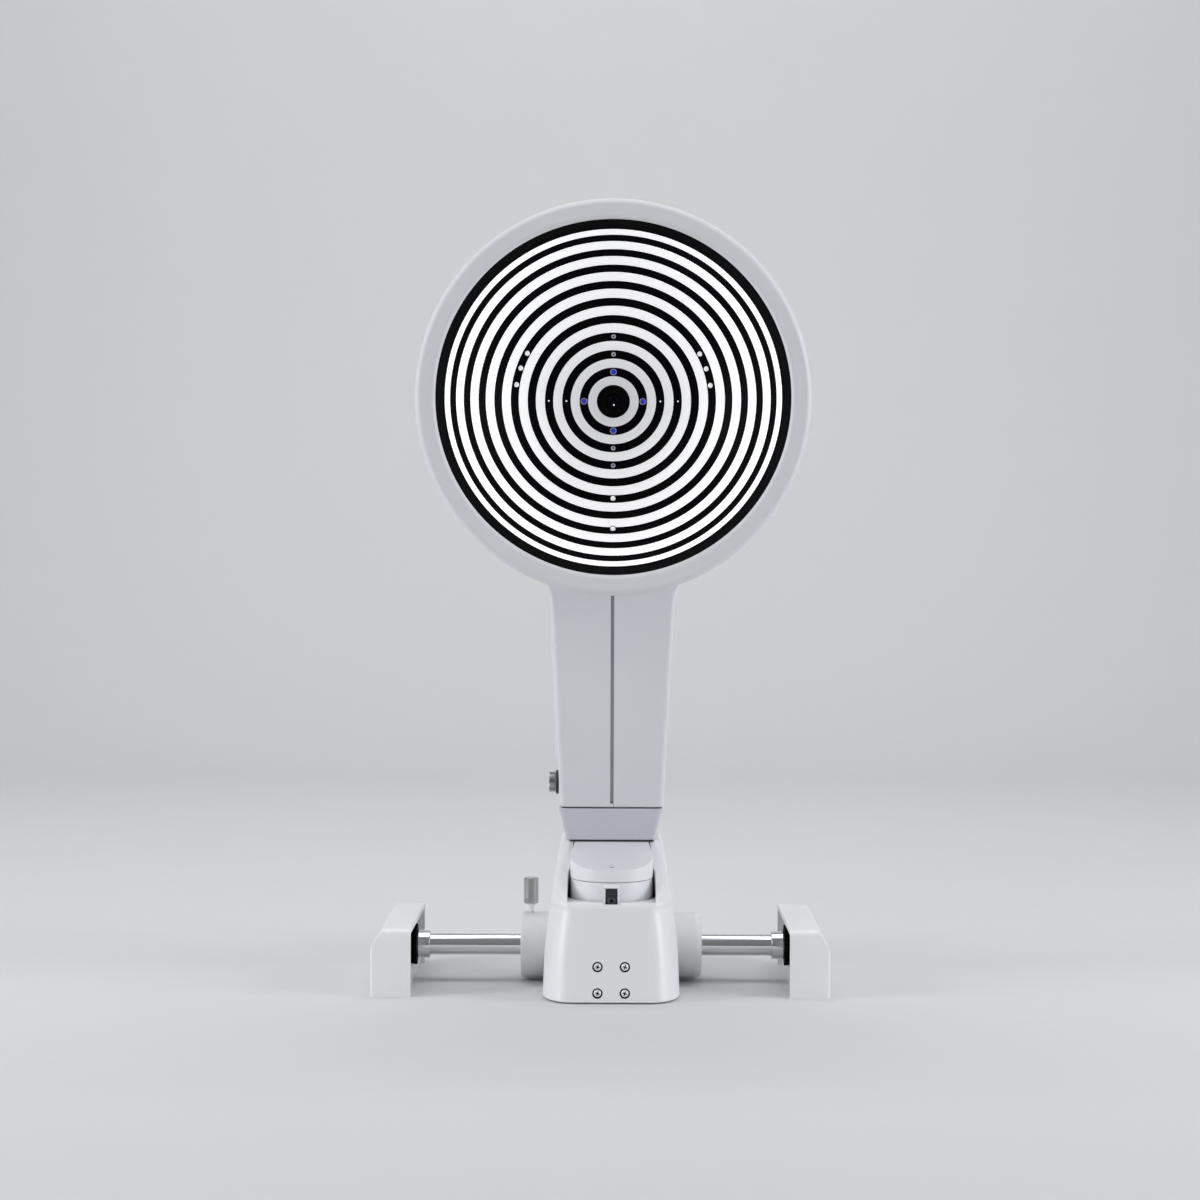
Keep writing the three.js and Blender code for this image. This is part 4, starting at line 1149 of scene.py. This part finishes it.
knob = knurled("armKnob", 7.0, 4.3, 48, 0.3, 0.45)
knob.data.transform(Matrix.Translation(Vector((baseX - 42.15, *knobAt[1:])) * millimetre)
                    @ Matrix.Rotation(radians(90), 4, "Y"))
knobStem = lathe("knobStem", [(0, -41), (2.3, -41), (2.3, -30.4, 0.3), (0, -30.4)], "x", knobAt, 48)
knobFace = lathe("knobFace", [(0, -44.2), (5.2, -44.2, 0.3), (5.4, -43.6), (0, -43.6)], "x", knobAt,
                 64)
knobPieces = [knob, dress(knobStem, chrome), dress(knobFace, knurlSteel)]
install(shade(joined("armLockKnob", knobPieces), 24), "arm_lock", "polished_steel", "arm_lock_knob")
washer = lathe("armLockWasher", [(2.8, -39.7, 0.2), (7.6, -39.7, 0.6), (8.45, -38.9, 0.5),
                                 (8.45, -37.6, 0.2),
               (2.8, -37.6, 0.2)], "x", knobAt, 96)
fit(shade(washer), blackMoulded, "lift", "black_plastic", "arm_lock_washer")

# joystick
stick = {"pleats": 4, "gripRibs": 30}
collar = lathe("joystickCollar", [
    (20, 62.3), (26, 62.3, 0.2), (26, 63.8, 0.7), (24.0, 65.6, 1.2), (21, 65.6, 0.8), (20, 64.6)],
    "z", stickAt, 128)
fit(shade(collar), blackMoulded, "base", "black_plastic", "joystick_collar")
socketProfile = [(14.2, 50, 0.3), (18, 50, 0.3), (18, 58.4, 0.3), (14.2, 58.4, 0.3)]
socket = lathe("joystickSocket", socketProfile, "z", stickAt, 96)
fit(shade(socket), darkAnodised, "base", "dark_metal", "joystick_socket")
gimbalProfile = [(9, 56, 0.4), (12.6, 56, 0.5), (13, 60, 2), (12.6, 64, 0.5), (9, 64, 0.4)]
gimbal = lathe("joystickGimbal", gimbalProfile, "z", stickAt, 96)
fit(shade(gimbal), chrome, "stick_ring", "polished_steel", "joystick_gimbal")
lever = lathe("leverCore", [
    (0, 42), (4, 42, 0.5), (5, 44), (5, 88), (5.5, 90), (5.5, 128.6), (13.4, 128.6, 0.4),
    (14, 131, 1.5),
    (13.2, 141, 8), (11.8, 150.6, 3), (10, 152, 0.6), (6.6, 152, 0.5), (6.6, 148, 0.2), (3.5, 148),
    (3.5, 138), (0, 138)], "z", stickAt, 96)
pleatOutline = [(5.1, 67.2), (17, 67.2, 0.4)]
for k in range(stick["pleats"]):
    height = 68.2 + 5.4 * k
    outer = 17.0 - 2.7 * k
    pleatOutline += [(outer, height, 0.8), (outer, height + 1.6, 0.8),
                     (outer - 3.6, height + 3.6, 0.8), (outer - 3.6, height + 4.4, 0.8)]
pleatOutline += [(5.8, 89.6, 0.4), (5.1, 89.6)]
boot = lathe("leverBoot", pleatOutline, "z", stickAt, 96, 4)
leverPieces = [dress(lever, blackMoulded), dress(boot, rubberBlack)]
install(shade(joined("joystickLever", leverPieces), 34), "stick", "black_plastic", "joystick_lever")
sleeveCore = lathe("sleeveCore", [
    (5.8, 90.4), (14, 90.4, 0.6), (14.3, 94), (14.3, 124, 0.6), (14, 128.2, 0.8), (5.8, 128.2)],
    "z", stickAt, 128)
grip = knurled("gripBand", 15.0, 27.0, stick["gripRibs"], 0.8, 0.7, rubberBlack)
shift(grip, baseX, place["stickY"], 109)
cut(grip, rod("gripHole", 13.9, 80, 140, "z", stickAt, 96))
dress(sleeveCore, blackMoulded)
install(shade(joined("heightSleeve", [sleeveCore, grip]), 28), "stick_sleeve", "black_plastic",
        "height_sleeve")
button = lathe("triggerButton", [(0, 141), (3.2, 141), (3.2, 151.5), (6.2, 151.5, 0.3),
                                 (6.2, 154.8, 1.2),
               (4.6, 155.7, 2), (0, 155.2)], "z", stickAt, 64)
fit(shade(button), buttonGrey, "trigger", "button_plastic", "trigger_button")
print("controls made")

# rail covers, racks, axle
rail = {"inner": 129.8, "outer": 157.5, "front": -55.0, "back": 85.0, "height": 46.6,
        "backHeight": 44.0, "chamferX": 148.5, "chamferZ": 32.8, "wall": 3.5}


def makeRailCover(side, sign):
    low, high = sorted((sign * 120, sign * 170))

    def outline(inset, floor, soft):
        corners = [(rail["inner"] - inset, floor), (rail["outer"] - inset, floor),
                   (rail["outer"] - inset, rail["chamferZ"] - inset * 0.5, soft),
                   (rail["chamferX"] - inset * 0.5, rail["height"] - inset, soft),
                   (rail["inner"] - inset, rail["height"] - inset)]
        return [(sign * corner[0], *corner[1:]) for corner in corners]

    cover = prism(f"{side}RailCover", outline(0, 0, 2.2), rail["front"], rail["back"], "y")
    profile = [(rail["front"], -1), (rail["front"], 30), (rail["front"] + 0.5, rail["height"], 5),
               (rail["back"], rail["backHeight"], 5), (rail["back"], -1)]
    keepInside(cover, prism("sideView", profile, low, high))
    plan = [(sign * 120, rail["front"]), (sign * rail["outer"], rail["front"], 3.0),
            (sign * rail["outer"], rail["back"], 3.0), (sign * 120, rail["back"])]
    keepInside(cover, prism("planView", plan, -2, 60, "z"))
    inside = prism("inside", outline(rail["wall"], -2, 2), rail["front"] + rail["wall"],
                   rail["back"] - rail["wall"], "y")
    roofFront = rail["height"] - rail["wall"]
    roofBack = rail["backHeight"] - rail["wall"]
    roofLine = [(rail["front"], -3), (rail["front"], roofFront), (rail["back"], roofBack),
                (rail["back"], -3)]
    keepInside(inside, prism("underRoof", roofLine, low, high))
    cut(cover, inside)
    soften(cover, 0.7, 4, 32)
    fit(cover, whiteGloss, "rails", "white_shell", f"{side}_rail_cover")


def refine(name, node, width, angle, material, body, slot):
    # the frame's own shape with softened edges
    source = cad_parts[node]
    piece = addObject(name, source.data.copy())
    return fit(soften(piece, width, 2, angle), material, body, slot, node)


axleCollar = {"left": -129.7, "right": 120.8, "length": 8.9}
for side, sign in (("left", -1), ("right", 1)):
    makeRailCover(side, sign)
    refine(f"{side}Rack", f"{side}_rack", 0.08, 30, milledSteel, "rails", "rack_steel")
    # black wheels, made extra dark as painted shade inside the covers
    refine(f"{side}ToothedWheel", f"{side}_toothed_wheel", 0.12, 40, blackAndPaintedShade, "axle",
           "black_plastic")
    start = axleCollar[side]
    end = start + axleCollar["length"]
    outline = [(7.7, start, 0.2), (9.75, start, 0.7), (9.75, end, 0.7), (7.7, end, 0.2)]
    dustCollar = lathe(f"{side}AxleCollar", outline, "x", shaftAt, 128)
    fit(shade(dustCollar), chrome, "axle_carrier", "polished_steel", f"{side}_axle_collar")
axle = lathe("axleShaft", [(0, -148), (7.5, -148, 0.8), (7.5, 148, 0.8), (0, 148)], "x", shaftAt,
             160)
fit(shade(axle), chrome, "axle", "polished_steel", "axle_shaft")
print("rails and axle made")

# pieces inside the head keep the frame's shape
refine("lampBoard", "lamp_board", 0.15, 40, boardGreen, "lift", "board")
refine("cameraBody", "camera_body", 0.9, 40, darkAnodised, "lift", "dark_metal")

# floor, light and camera
studio = {"floor": (0.67, 0.67, 0.68)}


def makeFloor():
    outline = [(-4.0, 0.0), (1.4, 0.0)]
    for k in range(1, 13):
        turn = radians(90) * k / 12
        outline.append((1.4 + 0.9 * sin(turn), 0.9 - 0.9 * cos(turn)))
    outline.append((2.3, 3.2))
    points = [(x * 1000, y * 1000, z * 1000) for x in (-4.0, 4.0) for y, z in outline]
    count = len(outline)
    faces = [(i, i + count, i + count + 1, i + 1) for i in range(count - 1)]
    mesh = bpy.data.meshes.new("studioFloor")
    mesh.from_pydata([Vector(point) * millimetre for point in points], [], faces)
    floor = addObject("studioFloor", mesh)
    for face in mesh.polygons:
        face.use_smooth = True
    paper = finish("paper", studio["floor"], tuple(c * 0.985 for c in studio["floor"]), (0.7, 0.85),
                   grain=(500.0, 30.0, 0.3, 0.03), drift=(2.0, 0.4))
    dress(floor, paper)


def makeLamp(name, spot, aim, size, power, tint=(1, 1, 1)):
    lamp = bpy.data.lights.new(name, "AREA")
    lamp.shape = "RECTANGLE"
    lamp.size, lamp.size_y = size
    lamp.energy = power
    lamp.color = tint
    holder = bpy.data.objects.new(name, lamp)
    holder.location = spot
    holder.rotation_euler = (Vector(aim) - Vector(spot)).to_track_quat("-Z", "Y").to_euler()
    scene.collection.objects.link(holder)


makeFloor()
makeLamp("keyLamp", (-1.3, -2.0, 1.7), (0, 0, 0.25), (1.2, 1.2), 7.4)
makeLamp("fillLamp", (1.5, -1.8, 1.1), (0, 0, 0.2), (1.0, 1.4), 4)
makeLamp("topLamp", (0, -0.1, 1.9), (0, 0, 0.2), (1.6, 1.2), 12)
makeLamp("leftEdgeLamp", (-1.9, -0.6, 0.7), (0, 0, 0.25), (0.6, 1.3), 20, (0.95, 0.975, 1))
makeLamp("rightEdgeLamp", (1.9, -0.6, 0.7), (0, 0, 0.25), (0.6, 1.3), 20, (0.95, 0.975, 1))
makeLamp("backdropLamp", (0, 0.7, 2.3), (0, 2.3, 0.9), (3.0, 0.6), 21)
world = bpy.data.worlds.new("studioAir")
world.use_nodes = True
air = world.node_tree
heading = air.nodes.new("ShaderNodeTexCoord").outputs["Generated"]
rise = put(air, "ShaderNodeSeparateXYZ", {0: heading}).outputs["Z"]
tones = put(air, "ShaderNodeValToRGB", {"Fac": sums(air)("MULTIPLY_ADD", rise, 0.5)})
for spot, tone in ((0.0, 0.7), (0.48, 0.65), (0.495, 0.03), (0.52, 0.04), (0.555, 0.8)):
    stop = tones.color_ramp.elements.new(spot)
    stop.color = (tone * 0.97, tone * 0.985, tone, 1)
tones.color_ramp.elements.remove(tones.color_ramp.elements[0])
tones.color_ramp.elements[-1].color = (0.9, 0.92, 0.95, 1)
air.links.new(tones.outputs[0], air.nodes["Background"].inputs["Color"])
air.nodes["Background"].inputs["Strength"].default_value = 0.25
scene.world = world
scene.view_settings.view_transform = "Standard"

camera = {"spot": (0.0075, -1.836, 0.335), "lens": 78.18, "shift": (-0.0108, -0.0767),
          "roll": -0.22}
view = bpy.data.cameras.new("viewCamera")
view.lens = camera["lens"]
view.sensor_width = 36
view.shift_x, view.shift_y = camera["shift"]
eye = bpy.data.objects.new("viewCamera", view)
roll = Matrix.Rotation(radians(camera["roll"]), 4, "Y")
eye.matrix_world = Matrix.Translation(camera["spot"]) @ roll @ Matrix.Rotation(radians(90), 4, "X")
scene.collection.objects.link(eye)
scene.camera = eye
print("studio made")
